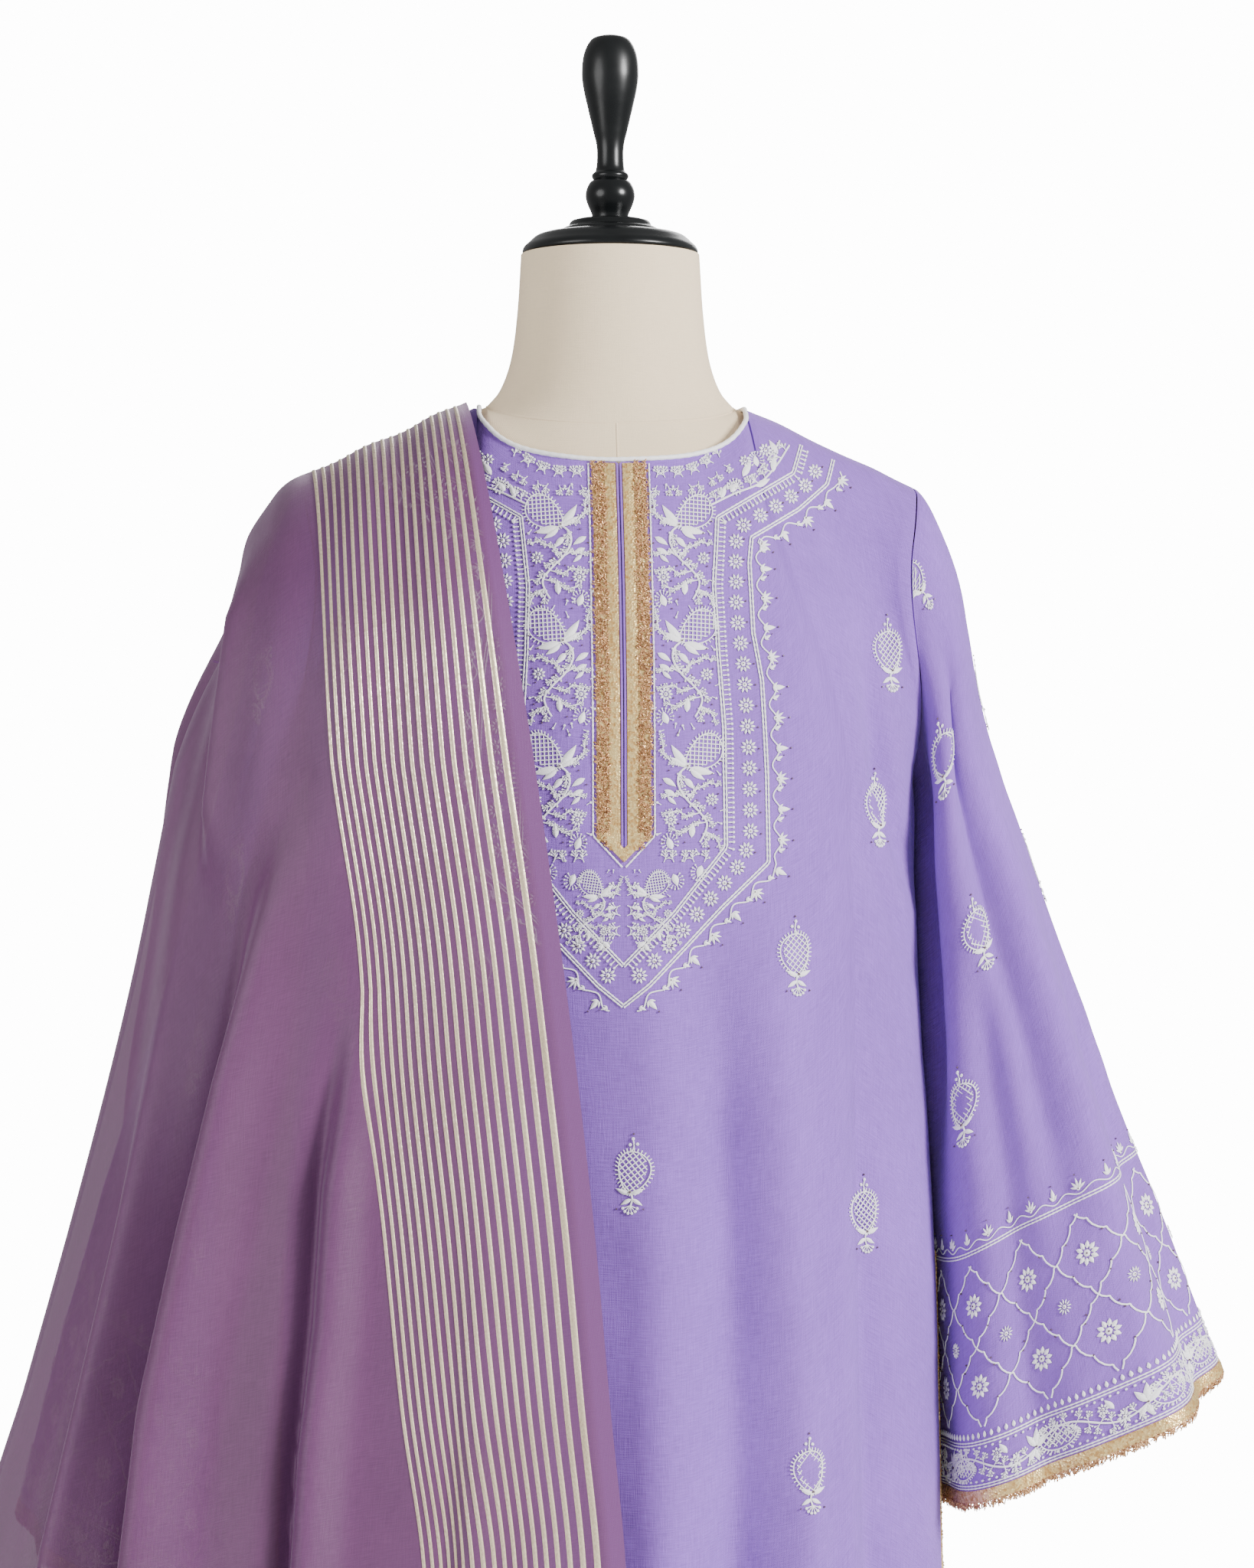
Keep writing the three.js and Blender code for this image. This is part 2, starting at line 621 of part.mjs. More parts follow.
const capFaces = (rings, middles) =>
  [0, rings.length - 1].flatMap((j) =>
    rings[j].map((point, k) => {
      const next = rings[j][(k + 1) % rings[j].length];
      return j === 0 ? [middles[j][k], point, next] : [middles[j][k], next, point];
    }),
  );

// A point across one of the dupatta's falls at a height, before its folds
function fallPoint(table, side, share, z) {
  const at = look(table, "z", z);
  const angle = share * THREE.MathUtils.degToRad(at.reach);
  const power = 2 / DUPATTA_SQUARENESS;
  const width = at.outer - at.inner;
  return {
    point: new THREE.Vector3(
      -at.inner - width * Math.sin(angle) ** power,
      side * at.depth * positive(Math.cos(angle)) ** power,
      z,
    ),
    fold: at.fold,
  };
}

// A column of the dupatta bends over the shoulder and then falls
function dupattaGrid(table, side) {
  const shares = steps(DUPATTA_COLUMNS);
  const lowest = table[0].z;
  const upper = easedSteps(DUPATTA_YOKE_ROWS).map((down) =>
    shares.map((share) => {
      const ridge = look(DUPATTA_RIDGE, "share", share);
      const { point: chest, fold } = fallPoint(table, side, share, CHEST_Z);
      const point = new THREE.Vector3(-ridge.x, DUPATTA_RIDGE_Y, ridge.z).lerp(chest, down);
      const round = (1 - (1 - down) ** 2.2) ** 0.55;
      point.y = lerp(DUPATTA_RIDGE_Y, chest.y, round) + side * HALF_SEAM;
      const lift = DUPATTA_LIFT * smoothstep(down, 0, 0.05) * (1 - down);
      return { point, lift, fold: lerp(DUPATTA_RIDGE_FOLD, fold, down) };
    }),
  );
  const lower = steps(DUPATTA_FALL_ROWS)
    .slice(1)
    .map((t) =>
      shares.map((share) => {
        const found = fallPoint(table, side, share, lerp(CHEST_Z, lowest, t));
        found.point.y += side * HALF_SEAM;
        return found;
      }),
    );
  return [...upper, ...lower];
}

// Folds run the whole length: they only rise away from the body, and the ridge keeps its seam
function dupattaFall(table, side) {
  const plain = dupattaGrid(table, side);
  const base = plain.map((row) => row.map(({ point }) => point));
  const level = (normals) => {
    normals[0].forEach((normal) => normal.setY(0).normalize());
    return normals;
  };
  const normals = level(gridNormals(base, false, -side));
  const grid = base.map((row, j) =>
    row.map((point, i) => {
      const share = i / DUPATTA_COLUMNS;
      const wave = (1 - Math.cos(2 * Math.PI * DUPATTA_FOLDS * share)) / 2;
      const { fold, lift = 0 } = plain[j][i];
      return point.clone().addScaledVector(normals[j][i], lift + fold * wave);
    }),
  );
  return wall(grid, moved(grid, level(gridNormals(grid, false, -side)), -DUPATTA_WALL));
}

// The dress form: two upper halves, the flat armhole plates, the trunk and the neck in one skin
function formBody() {
  const triangles = [];
  const skin = (grid) => {
    for (let j = 0; j + 1 < grid.length; j++)
      for (let i = 0; i + 1 < grid[j].length; i++)
        triangles.push(...quad(grid[j][i], grid[j][i + 1], grid[j + 1][i + 1], grid[j + 1][i]));
  };
  const turns = panelTurns(false);
  const downs = easedSteps(YOKE_ROWS);
  const trunkHeights = steps(TRUNK_ROWS).map((t) => lerp(CHEST_Z, FORM_FOOT_Z, t));
  const foot = new THREE.Vector3(0, 0, FORM_FOOT_Z);
  const crown = new THREE.Vector3(0, 0, NECK_TOP_Z);
  const facing = (grid, side) => (side < 0 ? grid : grid.map((row) => [...row].reverse()));
  for (const side of [-1, 1]) {
    skin(facing(downs.map((down) => turns.map((turn) => formUpper(side, turn, down))), side));
    const trunk = trunkHeights.map((z) => turns.map((turn) => sectionPoint(FORM, side, turn, z)));
    skin(facing(trunk, side));
    const rim = facing(trunk, side).at(-1);
    rim.slice(1).forEach((point, i) => triangles.push([rim[i], point, foot]));
    const neck = neckRows(side, turns.filter((turn) => Math.abs(turn) <= NECK_SHARE));
    skin(facing(neck, side));
    const top = facing(neck, side)[0];
    top.slice(1).forEach((point, i) => triangles.push([point, top[i], crown]));
  }
  for (const hand of [-1, 1]) {
    const plate = downs.map((down) => {
      const [front, back] = [-1, 1].map((side) => formUpper(side, hand, down));
      return [front, front.clone().lerp(back, 0.5), back];
    });
    skin(hand < 0 ? plate.map((row) => [...row].reverse()) : plate);
  }
  return closed(triangles);
}

// The neck's rows from the top down to its base, for one half
function neckRows(side, turns) {
  const name = side < 0 ? "front" : "back";
  return [1, 0.6, 0.3, 0.12, 0].map((rise) =>
    turns.map((turn) => {
      const base = formTop(side, turn);
      const at = look(NECK, "rise", rise);
      const angle = (turn / NECK_SHARE) * (Math.PI / 2);
      return new THREE.Vector3(
        at.side * Math.sin(angle),
        side * at[name] * positive(Math.cos(angle)),
        lerp(base.z, NECK_TOP_Z, rise),
      );
    }),
  );
}

const turned = (profile, segments) => {
  const points = profile.map(([radius, z]) => new THREE.Vector2(radius, z));
  return new THREE.LatheGeometry(points, segments).rotateX(Math.PI / 2);
};

function pole() {
  const length = FORM_FOOT_Z - COLLAR_TOP_Z - 0.6;
  const geometry = new THREE.CylinderGeometry(POLE_RADIUS, POLE_RADIUS, length, 24);
  return geometry.rotateX(Math.PI / 2).translate(0, 0, COLLAR_TOP_Z + 0.3 + length / 2);
}

const set = new THREE.Group();
set.name = "kurta_set";
const kurta = new THREE.Group();
const front = frontPanel();
const back = backPanel();
kurta.add(mesh("kurta_front", front.geometry, "kurta"));
kurta.add(mesh("kurta_back", back.geometry, "kurta"));
kurta.add(mesh("sleeve_right", sleeve(1, SLEEVE_RIGHT), "kurta"));
kurta.add(mesh("sleeve_left", sleeve(-1, SLEEVE_LEFT), "kurta"));
kurta.add(mesh("neck_piping", neckPiping(front, back), "piping"));
kurta.add(mesh("placket_lace", placketLace(), "lace"));
kurta.add(mesh("cuff_lace_right", cuffLace(1, SLEEVE_RIGHT), "lace"));
kurta.add(mesh("cuff_lace_left", cuffLace(-1, SLEEVE_LEFT), "lace"));
kurta.add(mesh("slit_lace_front_right", slitLace(-1, 1), "lace"));
kurta.add(mesh("slit_lace_front_left", slitLace(-1, -1), "lace"));
kurta.add(mesh("slit_lace_back_right", slitLace(1, 1), "lace"));
kurta.add(mesh("slit_lace_back_left", slitLace(1, -1), "lace"));
const dupatta = new THREE.Group();
dupatta.add(mesh("dupatta_front", dupattaFall(DUPATTA_FRONT, -1), "dupatta"));
dupatta.add(mesh("dupatta_back", dupattaFall(DUPATTA_BACK, 1), "dupatta"));
const form = new THREE.Group();
form.add(mesh("form_body", formBody(), "linen"));
form.add(mesh("form_cap", turned(CAP_PROFILE, 36), "lacquer"));
form.add(mesh("form_finial", turned(FINIAL_PROFILE, 24), "lacquer"));
form.add(mesh("stand_pole", pole(), "lacquer"));
form.add(mesh("stand_base", turned(BASE_PROFILE, 48), "lacquer"));
set.add(kurta, dupatta, form);

export default set;
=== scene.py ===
"""A bell-sleeved cotton kurta with a sheer dupatta on a dress form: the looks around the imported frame.

Lengths are worked out in millimetres and go into the meshes in metres. +X is the viewer's right and
the garment's front faces -Y. A surface is a whole array of points, worked out from tables of sizes.
"""

import math

import bpy
import numpy as np
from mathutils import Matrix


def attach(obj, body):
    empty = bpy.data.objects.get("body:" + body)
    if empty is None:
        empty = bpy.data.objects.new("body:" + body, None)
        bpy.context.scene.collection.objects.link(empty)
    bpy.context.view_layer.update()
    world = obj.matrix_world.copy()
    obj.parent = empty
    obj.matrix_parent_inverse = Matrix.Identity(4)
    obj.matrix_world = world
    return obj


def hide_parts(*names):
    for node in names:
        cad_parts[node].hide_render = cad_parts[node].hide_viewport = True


bl_info = {
    "name": "Kurta and dupatta on a dress form",
    "version": (1, 0, 0),
    "blender": (4, 5, 0),
    "location": "View3D > Sidebar > Kurta",
    "description": "Builds a kurta, its embroidery and laces, a sheer dupatta and their dress form",
    "category": "Object",
}

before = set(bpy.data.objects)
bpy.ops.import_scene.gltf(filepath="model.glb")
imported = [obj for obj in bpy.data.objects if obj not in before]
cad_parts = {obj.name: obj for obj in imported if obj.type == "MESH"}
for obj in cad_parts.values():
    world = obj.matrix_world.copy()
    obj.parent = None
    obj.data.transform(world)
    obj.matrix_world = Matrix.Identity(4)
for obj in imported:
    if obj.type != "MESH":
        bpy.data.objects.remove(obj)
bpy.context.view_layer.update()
MM = 0.001

# Heights and walls
CHEST_Z = 1176.0
HEM_Z = 320.0
SLIT_TOP_Z = 870.0
FORM_FOOT_Z = 715.0
NECK_TOP_Z = 1494.7
HALF_SEAM = 0.2
CLOTH_OFF_FORM = 0.7
SOLID_CLOTH = 1.5
YOKE_LIFT = 2.5

# Neck and shoulders
NECK_SIDE = (77.0, 1400.1)
SHOULDER_TIP = (188.2, 1349.2)
NECK_BASE_DEPTH = (64.0, 66.0)
NECK_BASE_DROP = (15.0, 4.0)
NECK_SHARE = 0.467
ARMHOLE_DEPTH = 46.0
ARMHOLE_EASE = 5.0
SQUARENESS = 2.3
NECKLINE_SHARE = 0.488
NECKLINE_DEPTH = (0.13, 0.075)
FRONT_SLIT_TURN = 0.0045
FRONT_SLIT_END_Z = 1131.0
SLIT_SPREAD = (7.0, 13.0)
SLEEVE_FLUTES = 5
FLUTE_HEIGHT = 5.0
SLEEVE_OFF_ARMHOLE = 0.9
FOLD_DEPTH = 1.7
COVERED_FOLD_DEPTH = 1.0  # on the sleeve that the dupatta covers
SIDES = ((-1, "front"), (1, "back"))
HANDS = ((1, "right"), (-1, "left"))

# Grid steps: side, word, columns, rows above the chest and rows below it
PANELS = ((-1, "front", 112, 52, 106), (1, "back", 88, 36, 90))
SLEEVE_COLUMNS = 104
SLEEVE_ROWS = 90
DUPATTA_COLUMNS = 181
FALL_TOP_ROWS = 44
FALL_ROWS = 106

# Trims
PLACKET_TOP_Z = 1358.6
PLACKET_POINT_Z = 1121.0
CUFF_ROUND = 528.0  # distance round the sleeve's hem
BAND_REPEAT = 66  # length of one repeat of the leaf band
VINE_REPEAT = 38
PIPING_RADIUS = 1.5
NECK_ROUND = 0.07  # radius in metres at which the linen's threads keep their true size
NET_STEP = 2.0

# Height, half width, front depth and back depth
FORM = np.array([
    (715, 138, 90, 88), (740, 158, 104, 103), (810, 165, 109, 108), (870, 157, 107, 105),
    (940, 133, 101, 91), (1010, 118, 100, 79), (1070, 130, 112, 86), (1130, 146, 126, 96),
    (1176, 151, 125, 100),
], float)
KURTA = np.array([
    (320, 222, 141, 134), (500, 213, 134, 128), (678, 206, 128, 122), (780, 204, 125, 120),
    (870, 202, 123, 117), (930, 199, 122, 112), (1000, 194, 124, 106), (1060, 191, 128, 104),
    (1130, 188, 133, 105), (1176, 187, 131, 107),
], float)
# Rise, half width, front depth and back depth of the neck
NECK = np.array([
    (0, 77, 64, 66), (0.1, 69, 61, 62), (0.3, 62, 58.5, 59), (0.6, 58, 57, 57.5),
    (1, 55.5, 55.5, 55.5),
])
# Share of the length, outer line (x, z), underarm line (x, z) and half depth
SLEEVES = {
    1: np.array([
        (0, 189, 1351, 187, 1176, 47), (0.04, 204, 1339, 188.5, 1164, 52),
        (0.1, 215, 1308, 188, 1147, 56), (0.18, 222, 1266, 188.6, 1112, 60),
        (0.28, 232, 1213, 190.4, 1063, 62), (0.4, 253, 1146, 193.4, 1000, 64),
        (0.54, 281, 1069, 198.6, 928, 68), (0.7, 312, 982, 202.6, 850, 73),
        (0.86, 348, 884, 205, 772, 79), (1, 382, 796, 206.5, 719, 84),
    ]),
    -1: np.array([
        (0, 189, 1351, 187, 1176, 47), (0.04, 203, 1338, 191, 1164, 52),
        (0.1, 214, 1308, 199, 1146, 57), (0.18, 220, 1266, 212, 1110, 62),
        (0.28, 231, 1211, 226, 1060, 68), (0.4, 249, 1136, 236, 992, 73),
        (0.54, 272, 1050, 241, 915, 77), (0.7, 302, 948, 243, 828, 81),
        (0.86, 336, 828, 243, 727, 85), (1, 363, 716, 241, 645, 88),
    ]),
}
# The dupatta over the shoulder: share, x, z
DUPATTA_RIDGE = np.array([
    (0, 88.5, 1400.3), (0.16, 120, 1385.1), (0.32, 154, 1369.5), (0.46, 184, 1355.8),
    (0.56, 204, 1344), (0.68, 220, 1318), (0.84, 229, 1278), (1, 237, 1240),
])
DUPATTA_RIDGE_Y = 4.0
DUPATTA_RIDGE_FOLD = 14.0
DUPATTA_LIFT = 5.0
DUPATTA_SQUARENESS = 2.6
DUPATTA_FOLDS = 5
# Height, inner edge, outer line, depth, reach in degrees, fold height, share that the stripes take
DUPATTA = {
    -1: np.array([
        (190, -14, 412, 166, 90, 22, 0.13), (450, -10, 402, 158, 90, 20, 0.135),
        (706, 0, 381, 149, 90, 17, 0.141), (801, 9, 354, 147, 90, 16, 0.168),
        (902, 18, 326, 146, 90, 15, 0.198), (992, 28, 303, 146, 90, 14, 0.23),
        (1084, 40, 282, 148, 90, 13, 0.255), (1176, 53, 264, 147, 90, 12, 0.311),
    ]),
    1: np.array([
        (220, 22, 412, 168, 56, 22, 0.243), (450, 30, 402, 158, 58, 20, 0.248),
        (706, 40, 378, 146, 60, 17, 0.254), (801, 44, 352, 140, 62, 16, 0.27),
        (902, 48, 326, 134, 66, 15, 0.29), (992, 52, 303, 128, 72, 14, 0.31),
        (1084, 56, 281, 124, 76, 13, 0.33), (1176, 62, 261, 124, 85, 12, 0.358),
    ]),
}
RIDGE_BAND_SHARE = 0.46
BAND_PART = 0.19  # the part of the cloth's width that the stripes take
FIRST_STRIPE = 0.0145
LAST_STRIPE_GAP = 0.003
STRIPE_HALF = 0.0021
CLOTH_ACROSS = 760  # width of the dupatta in mm, for the width of its rolled hem

# Folds placed down the cloth: rows of height, x and strength
KURTA_FOLDS = {
    -1: [
        (-9.0, 15, [(300, 76, 1), (690, 70, 1), (760, 69, 0.78), (870, 66, 0.8), (950, 62, 0.9),
                    (1090, 56, 0)]),
        (5.5, 17, [(300, 28, 1), (700, 26, 1), (980, 22, 0.5), (1100, 20, 0)]),
        (7.0, 16, [(300, 118, 1), (700, 110, 1), (980, 98, 0.6), (1120, 92, 0)]),
        (-6.5, 12, [(300, 164, 1), (640, 158, 1), (900, 150, 0.8), (1050, 142, 0)]),
        (-3.5, 18, [(300, -30, 1), (640, -26, 0.8), (900, -20, 0)]),
        (-7.5, 16, [(300, -92, 1), (700, -84, 0.7), (960, -78, 0)]),
        (4.0, 20, [(300, -140, 1), (760, -130, 0.6), (980, -122, 0)]),
        (-6.0, 8, [(1090, 183, 0), (1130, 176, 0.8), (1170, 162, 1), (1230, 152, 0.4), (1280, 150, 0)]),
        (-6.0, 8, [(1090, -183, 0), (1130, -176, 0.8), (1170, -162, 1), (1230, -152, 0.4), (1280, -150, 0)]),
        (-2.6, 7, [(1040, 186, 0), (1080, 172, 1), (1120, 150, 0.7), (1150, 128, 0)]),
    ],
    1: [
        (-9.0, 16, [(300, 60, 1), (620, 56, 1), (730, 55, 0.45), (1000, 48, 0.4), (1180, 44, 0)]),
        (-8.0, 15, [(300, -66, 1), (620, -61, 1), (730, -60, 0.5), (1020, -54, 0.4), (1200, -50, 0)]),
        (4.5, 22, [(300, 6, 1), (760, 4, 0.8), (1080, 0, 0)]),
        (4.0, 18, [(300, 118, 1), (760, 108, 0.8), (1060, 100, 0)]),
        (-4.0, 15, [(300, 158, 1), (700, 150, 0.8), (1000, 142, 0)]),
        (-6.0, 8, [(1090, 182, 0), (1140, 172, 0.9), (1190, 160, 1), (1260, 152, 0.3), (1300, 150, 0)]),
        (-6.0, 8, [(1090, -182, 0), (1140, -172, 0.9), (1190, -160, 1), (1260, -152, 0.3), (1300, -150, 0)]),
    ],
}

# Turned wood: radius and height up the axis; a corner is given twice
CAP_PROFILE = [
    (0, 1495), (0, 1495), (52.6, 1495), (52.6, 1495), (54.2, 1495.6), (54.6, 1497.2), (53.6, 1499.6),
    (51.2, 1501.9), (46.2, 1506.2), (40, 1507.9), (31, 1509.2), (31, 1509.2), (29.6, 1511), (26, 1512.4),
    (26, 1512.4), (24.6, 1515.4), (22, 1516.4), (22, 1516.4), (0, 1516.4), (0, 1516.4),
]
FINIAL_PROFILE = [
    (0, 1516.7), (0, 1516.7), (10.9, 1516.7), (10.9, 1516.7), (11.6, 1520.5), (13.8, 1525.6),
    (15.3, 1530.8), (14.8, 1535.6), (12.6, 1540), (10.4, 1541.6), (10.4, 1541.6), (11.4, 1543.4),
    (11.2, 1545), (9, 1547.5), (8.2, 1557.9), (8.8, 1564.6), (10.4, 1571), (14.4, 1588), (16.8, 1599),
    (17.7, 1607.9), (16.4, 1620), (12, 1628.6), (6, 1631.2), (0, 1631.7), (0, 1631.7),
]
POLE_PROFILE = [
    (0, 42.3), (0, 42.3), (12.5, 42.3), (12.5, 42.3), (12.5, 714.7), (12.5, 714.7), (0, 714.7), (0, 714.7),
]
BASE_PROFILE = [
    (0, 0), (0, 0), (178.5, 0), (178.5, 0), (180, 1.5), (180, 8.5), (178, 11), (174, 12), (174, 12),
    (26, 12), (24, 13.5), (24, 36), (23, 40), (20, 42), (20, 42), (0, 42), (0, 42),
]


# Curves and surfaces

def look(table, value):
    """Every column of a table at values of its first one. Between two rows it is the cubic whose
    slopes are those of the lines through their neighbours."""
    last = len(table) - 1
    at = np.clip(value, table[0, 0], table[-1, 0])
    i = np.clip(np.searchsorted(table[:, 0], at) - 1, 0, last - 1)
    before, a, b, after = (table[np.clip(i + k, 0, last)] for k in (-1, 0, 1, 2))
    span = (b - a)[..., :1]
    t = (at[..., None] - a[..., :1]) / span
    slope_a = (b - before) / (b - before)[..., :1] * span
    slope_b = (after - a) / (after - a)[..., :1] * span
    rise = b - a
    found = a + t * slope_a + t**2 * (3 * rise - 2 * slope_a - slope_b)
    found = found + t**3 * (slope_a + slope_b - 2 * rise)
    return np.moveaxis(found[..., 1:], -1, 0)


def smooth(value, low, high):
    """0 below low, 1 above high, and 3t² - 2t³ between."""
    t = np.clip((value - low) / (high - low), 0, 1)
    return t * t * (3 - 2 * t)


def mix(a, b, share):
    return a + (b - a) * share


def matched(*values):
    """Values as float arrays of one shape."""
    return np.broadcast_arrays(*(np.asarray(value, float) for value in values))


def length_along(path):
    """The distance from a line's start to each of its points."""
    return np.concatenate([[0], np.cumsum(np.linalg.norm(np.diff(path, axis=0), axis=1))])


def stacked(x, y, z):
    return np.stack(np.broadcast_arrays(x, y, z), -1).astype(float)


def unit(vectors):
    length = np.linalg.norm(vectors, axis=-1, keepdims=True)
    return vectors / np.maximum(length, 1e-9)


def eased(count):
    return (1 - np.cos(np.pi * np.linspace(0, 1, count + 1))) / 2


def pick(pair, side):
    return pair[0 if side < 0 else 1]


def section(table, side, turn, z):
    """Squared oval: x = half·sin^p, y = depth·cos^p, where turn -1..1 is the angle over a quarter."""
    half, front, back = look(table, z)
    angle = turn * np.pi / 2
    power = 2 / SQUARENESS
    across = np.sign(np.sin(angle)) * np.abs(np.sin(angle)) ** power
    deep = np.maximum(np.cos(angle), 0) ** power
    return stacked(half * across, side * pick((front, back), side) * deep, z)


def form_top(side, turn):
    """Round the neck's base by a quarter ellipse, then straight out to the shoulder's tip."""
    across = np.abs(turn)
    sign = np.where(turn < 0, -1.0, 1.0)
    angle = np.minimum(across / NECK_SHARE, 1) * np.pi / 2
    out = np.maximum(across - NECK_SHARE, 0) / (1 - NECK_SHARE)
    on_neck = across < NECK_SHARE
    x = np.where(on_neck, NECK_SIDE[0] * np.sin(angle), mix(NECK_SIDE[0], SHOULDER_TIP[0], out))
    y = np.where(on_neck, side * pick(NECK_BASE_DEPTH, side) * np.cos(angle), 0)
    drop = pick(NECK_BASE_DROP, side) * np.cos(angle)
    z = np.where(on_neck, NECK_SIDE[1] - drop, mix(NECK_SIDE[1], SHOULDER_TIP[1], out))
    return stacked(sign * x, y, z)


def armhole_swell(turn, down):
    """How far the armhole bows: a sine down its length, only near the arm."""
    return np.maximum(np.sin(np.pi * down), 0) ** 0.6 * np.abs(turn) ** 6


def form_upper(side, turn, down):
    """From the top line (down 0) to the chest (down 1); y goes over the shoulder by a rounded share."""
    turn, down = matched(turn, down)
    top = form_top(side, turn)
    chest = section(FORM, side, turn, np.full(turn.shape, CHEST_Z))
    shoulder = smooth(np.abs(turn), 0.15, NECK_SHARE)
    bend = 1 - (1 - down) ** mix(1.8, 2.2, shoulder)
    bend = bend ** mix(1, 0.55, shoulder)
    point = mix(top, chest, down[..., None])
    point[..., 1] = mix(top[..., 1], chest[..., 1], bend)
    point[..., 1] += side * ARMHOLE_DEPTH * armhole_swell(turn, down)
    return point


def outward(side, turn, down):
    """The unit normal of form_upper by small differences, level along the shoulder's ridge."""
    step = 1e-4
    turn, down = matched(turn, down)
    across = form_upper(side, np.clip(turn + step, -1, 1), down)
    across = across - form_upper(side, np.clip(turn - step, -1, 1), down)
    along = form_upper(side, turn, np.clip(down + step, 0, 1))
    along = along - form_upper(side, turn, np.clip(down - step, 0, 1))
    normal = np.cross(across, along) * side
    normal[..., 1] = np.where((down == 0) & (np.abs(turn) >= NECK_SHARE), 0, normal[..., 1])
    return unit(normal)


def kurta_upper(side, turn, down):
    """The form moved out by the cloth, which eases off it to the kurta's own section at the chest."""
    turn, down = matched(turn, down)
    off = CLOTH_OFF_FORM + SOLID_CLOTH
    lift = YOKE_LIFT * smooth(down, 0, 0.04) * (1 - down * down)
    point = form_upper(side, turn, down) + outward(side, turn, down) * (off + lift)[..., None]
    level = np.ones(turn.shape)
    chest = form_upper(side, turn, level) + outward(side, turn, level) * off
    ease = section(KURTA, side, turn, level * CHEST_Z) - chest
    point[..., 1] += side * ARMHOLE_EASE * armhole_swell(turn, down)
    return point + ease * smooth(down, 0.22, 1)[..., None]


def kurta_lower(side, turn, z):
    """The kurta's section with soft waves that grow to the hem, and side slits that part."""
    turn, z = matched(turn, z)
    point = section(KURTA, side, turn, z)
    grown = (CHEST_Z - z) / (CHEST_Z - HEM_Z)
    wave = np.cos(np.pi * (5 * turn + 0.35 * side)) + 0.5 * np.cos(np.pi * 8 * turn)
    parted = np.maximum(SLIT_TOP_Z - z, 0) / (SLIT_TOP_Z - HEM_Z)
    point[..., 1] += side * 5.5 * grown * wave * (1 - turn**4)
    point[..., 1] += side * pick(SLIT_SPREAD, side) * parted * np.abs(turn) ** 12
    return point


def neckline_down(side, turn):
    share = np.clip(np.abs(turn) / NECKLINE_SHARE, 0, 1)
    return pick(NECKLINE_DEPTH, side) * np.sqrt(1 - share * share)


def grid_normals(grid, outwards, wrapped=False):
    """Unit normals of a grid from the differences of its neighbours."""
    if wrapped:
        across = np.roll(grid, -1, 1) - np.roll(grid, 1, 1)
    else:
        across = np.gradient(grid, axis=1)
    return unit(np.cross(across, np.gradient(grid, axis=0))) * outwards


def fold_height(points, folds):
    """Sum of troughs and ridges down the cloth: height·exp(-(distance/width)²), faded by strength."""
    total = np.zeros(points.shape[:2])
    for height, width, rows in folds:
        z, x, strength = np.array(rows, float).T
        away = (points[..., 0] - np.interp(points[..., 2], z, x)) / width
        total += height * np.exp(-away * away) * np.interp(points[..., 2], z, strength)
    return total


def rumple(points):
    """Slight unevenness of worn cotton: two crossed sines whose phases wander."""
    x, z = points[..., 0], points[..., 2]
    broad = np.sin(x / 17 + 2.2 * np.sin(z / 71)) * np.sin(z / 43 + 1.7 * np.sin(x / 37))
    return 0.75 * broad + 0.3 * np.sin(x / 8 + 3 * np.sin(z / 29)) * np.sin(z / 19)


def soften(grid, around_row, reach, times):
    """Averages each row with its neighbours near one row, so that two surfaces flow together."""
    rows = np.arange(len(grid))
    weight = np.clip(1 - np.abs(rows - around_row) / reach, 0, 1)[1:-1, None, None]
    for _ in range(times):
        between = (grid[:-2] + grid[2:]) / 2
        grid[1:-1] = mix(grid[1:-1], between, 0.5 * weight)
    return grid


def panel_turns(side, columns):
    turns = np.linspace(0, 1, columns // 2 + 1)
    right = np.concatenate([[FRONT_SLIT_TURN], turns[1:]]) if side < 0 else turns[1:]
    left = -right[::-1]
    return np.concatenate([left, right]) if side < 0 else np.concatenate([left, [0.0], right])


def panel_grid(side, columns, upper_rows, lower_rows):
    """Rows from the top edge to the hem, with the listed folds raised on them."""
    turns = panel_turns(side, columns)
    top = neckline_down(side, turns)[None, :]
    down = top + (1 - top) * eased(upper_rows)[:, None]
    upper = kurta_upper(side, turns[None, :], down)
    z = np.linspace(CHEST_Z, HEM_Z, lower_rows + 1)[1:]
    grid = np.concatenate([upper, kurta_lower(side, turns[None, :], z[:, None])])
    grid[..., 1] += side * HALF_SEAM
    inside = np.abs(turns) < 0.93
    grid[:, inside] = soften(grid[:, inside].copy(), upper_rows, 14, 12)
    free = 1 - smooth(np.abs(turns), 0.86, 0.985)[None, :]
    height = (FOLD_DEPTH * fold_height(grid, KURTA_FOLDS[side]) + rumple(grid)) * free
    return turns, grid + grid_normals(grid, side) * height[..., None]


def armhole(hand, around):
    """The ring where the sleeve is set: down the front (around 0 to 0.5) and up the back."""
    rings = []
    for side, share in ((-1, 2 * around), (1, 2 - 2 * around)):
        down = (1 - np.cos(np.pi * np.clip(share, 0, 1))) / 2
        point = kurta_upper(side, hand, down)
        away = point - kurta_upper(side, hand * 0.98, down)
        level = (down < 1e-9) | (down > 1 - 1e-9)
        point[..., 1] = np.where(level, 0, point[..., 1])
        away[..., 1] = np.where(level, 0, away[..., 1])
        rings.append(point + unit(away) * SLEEVE_OFF_ARMHOLE)
    return np.where((around <= 0.5)[..., None], rings[0], rings[1])


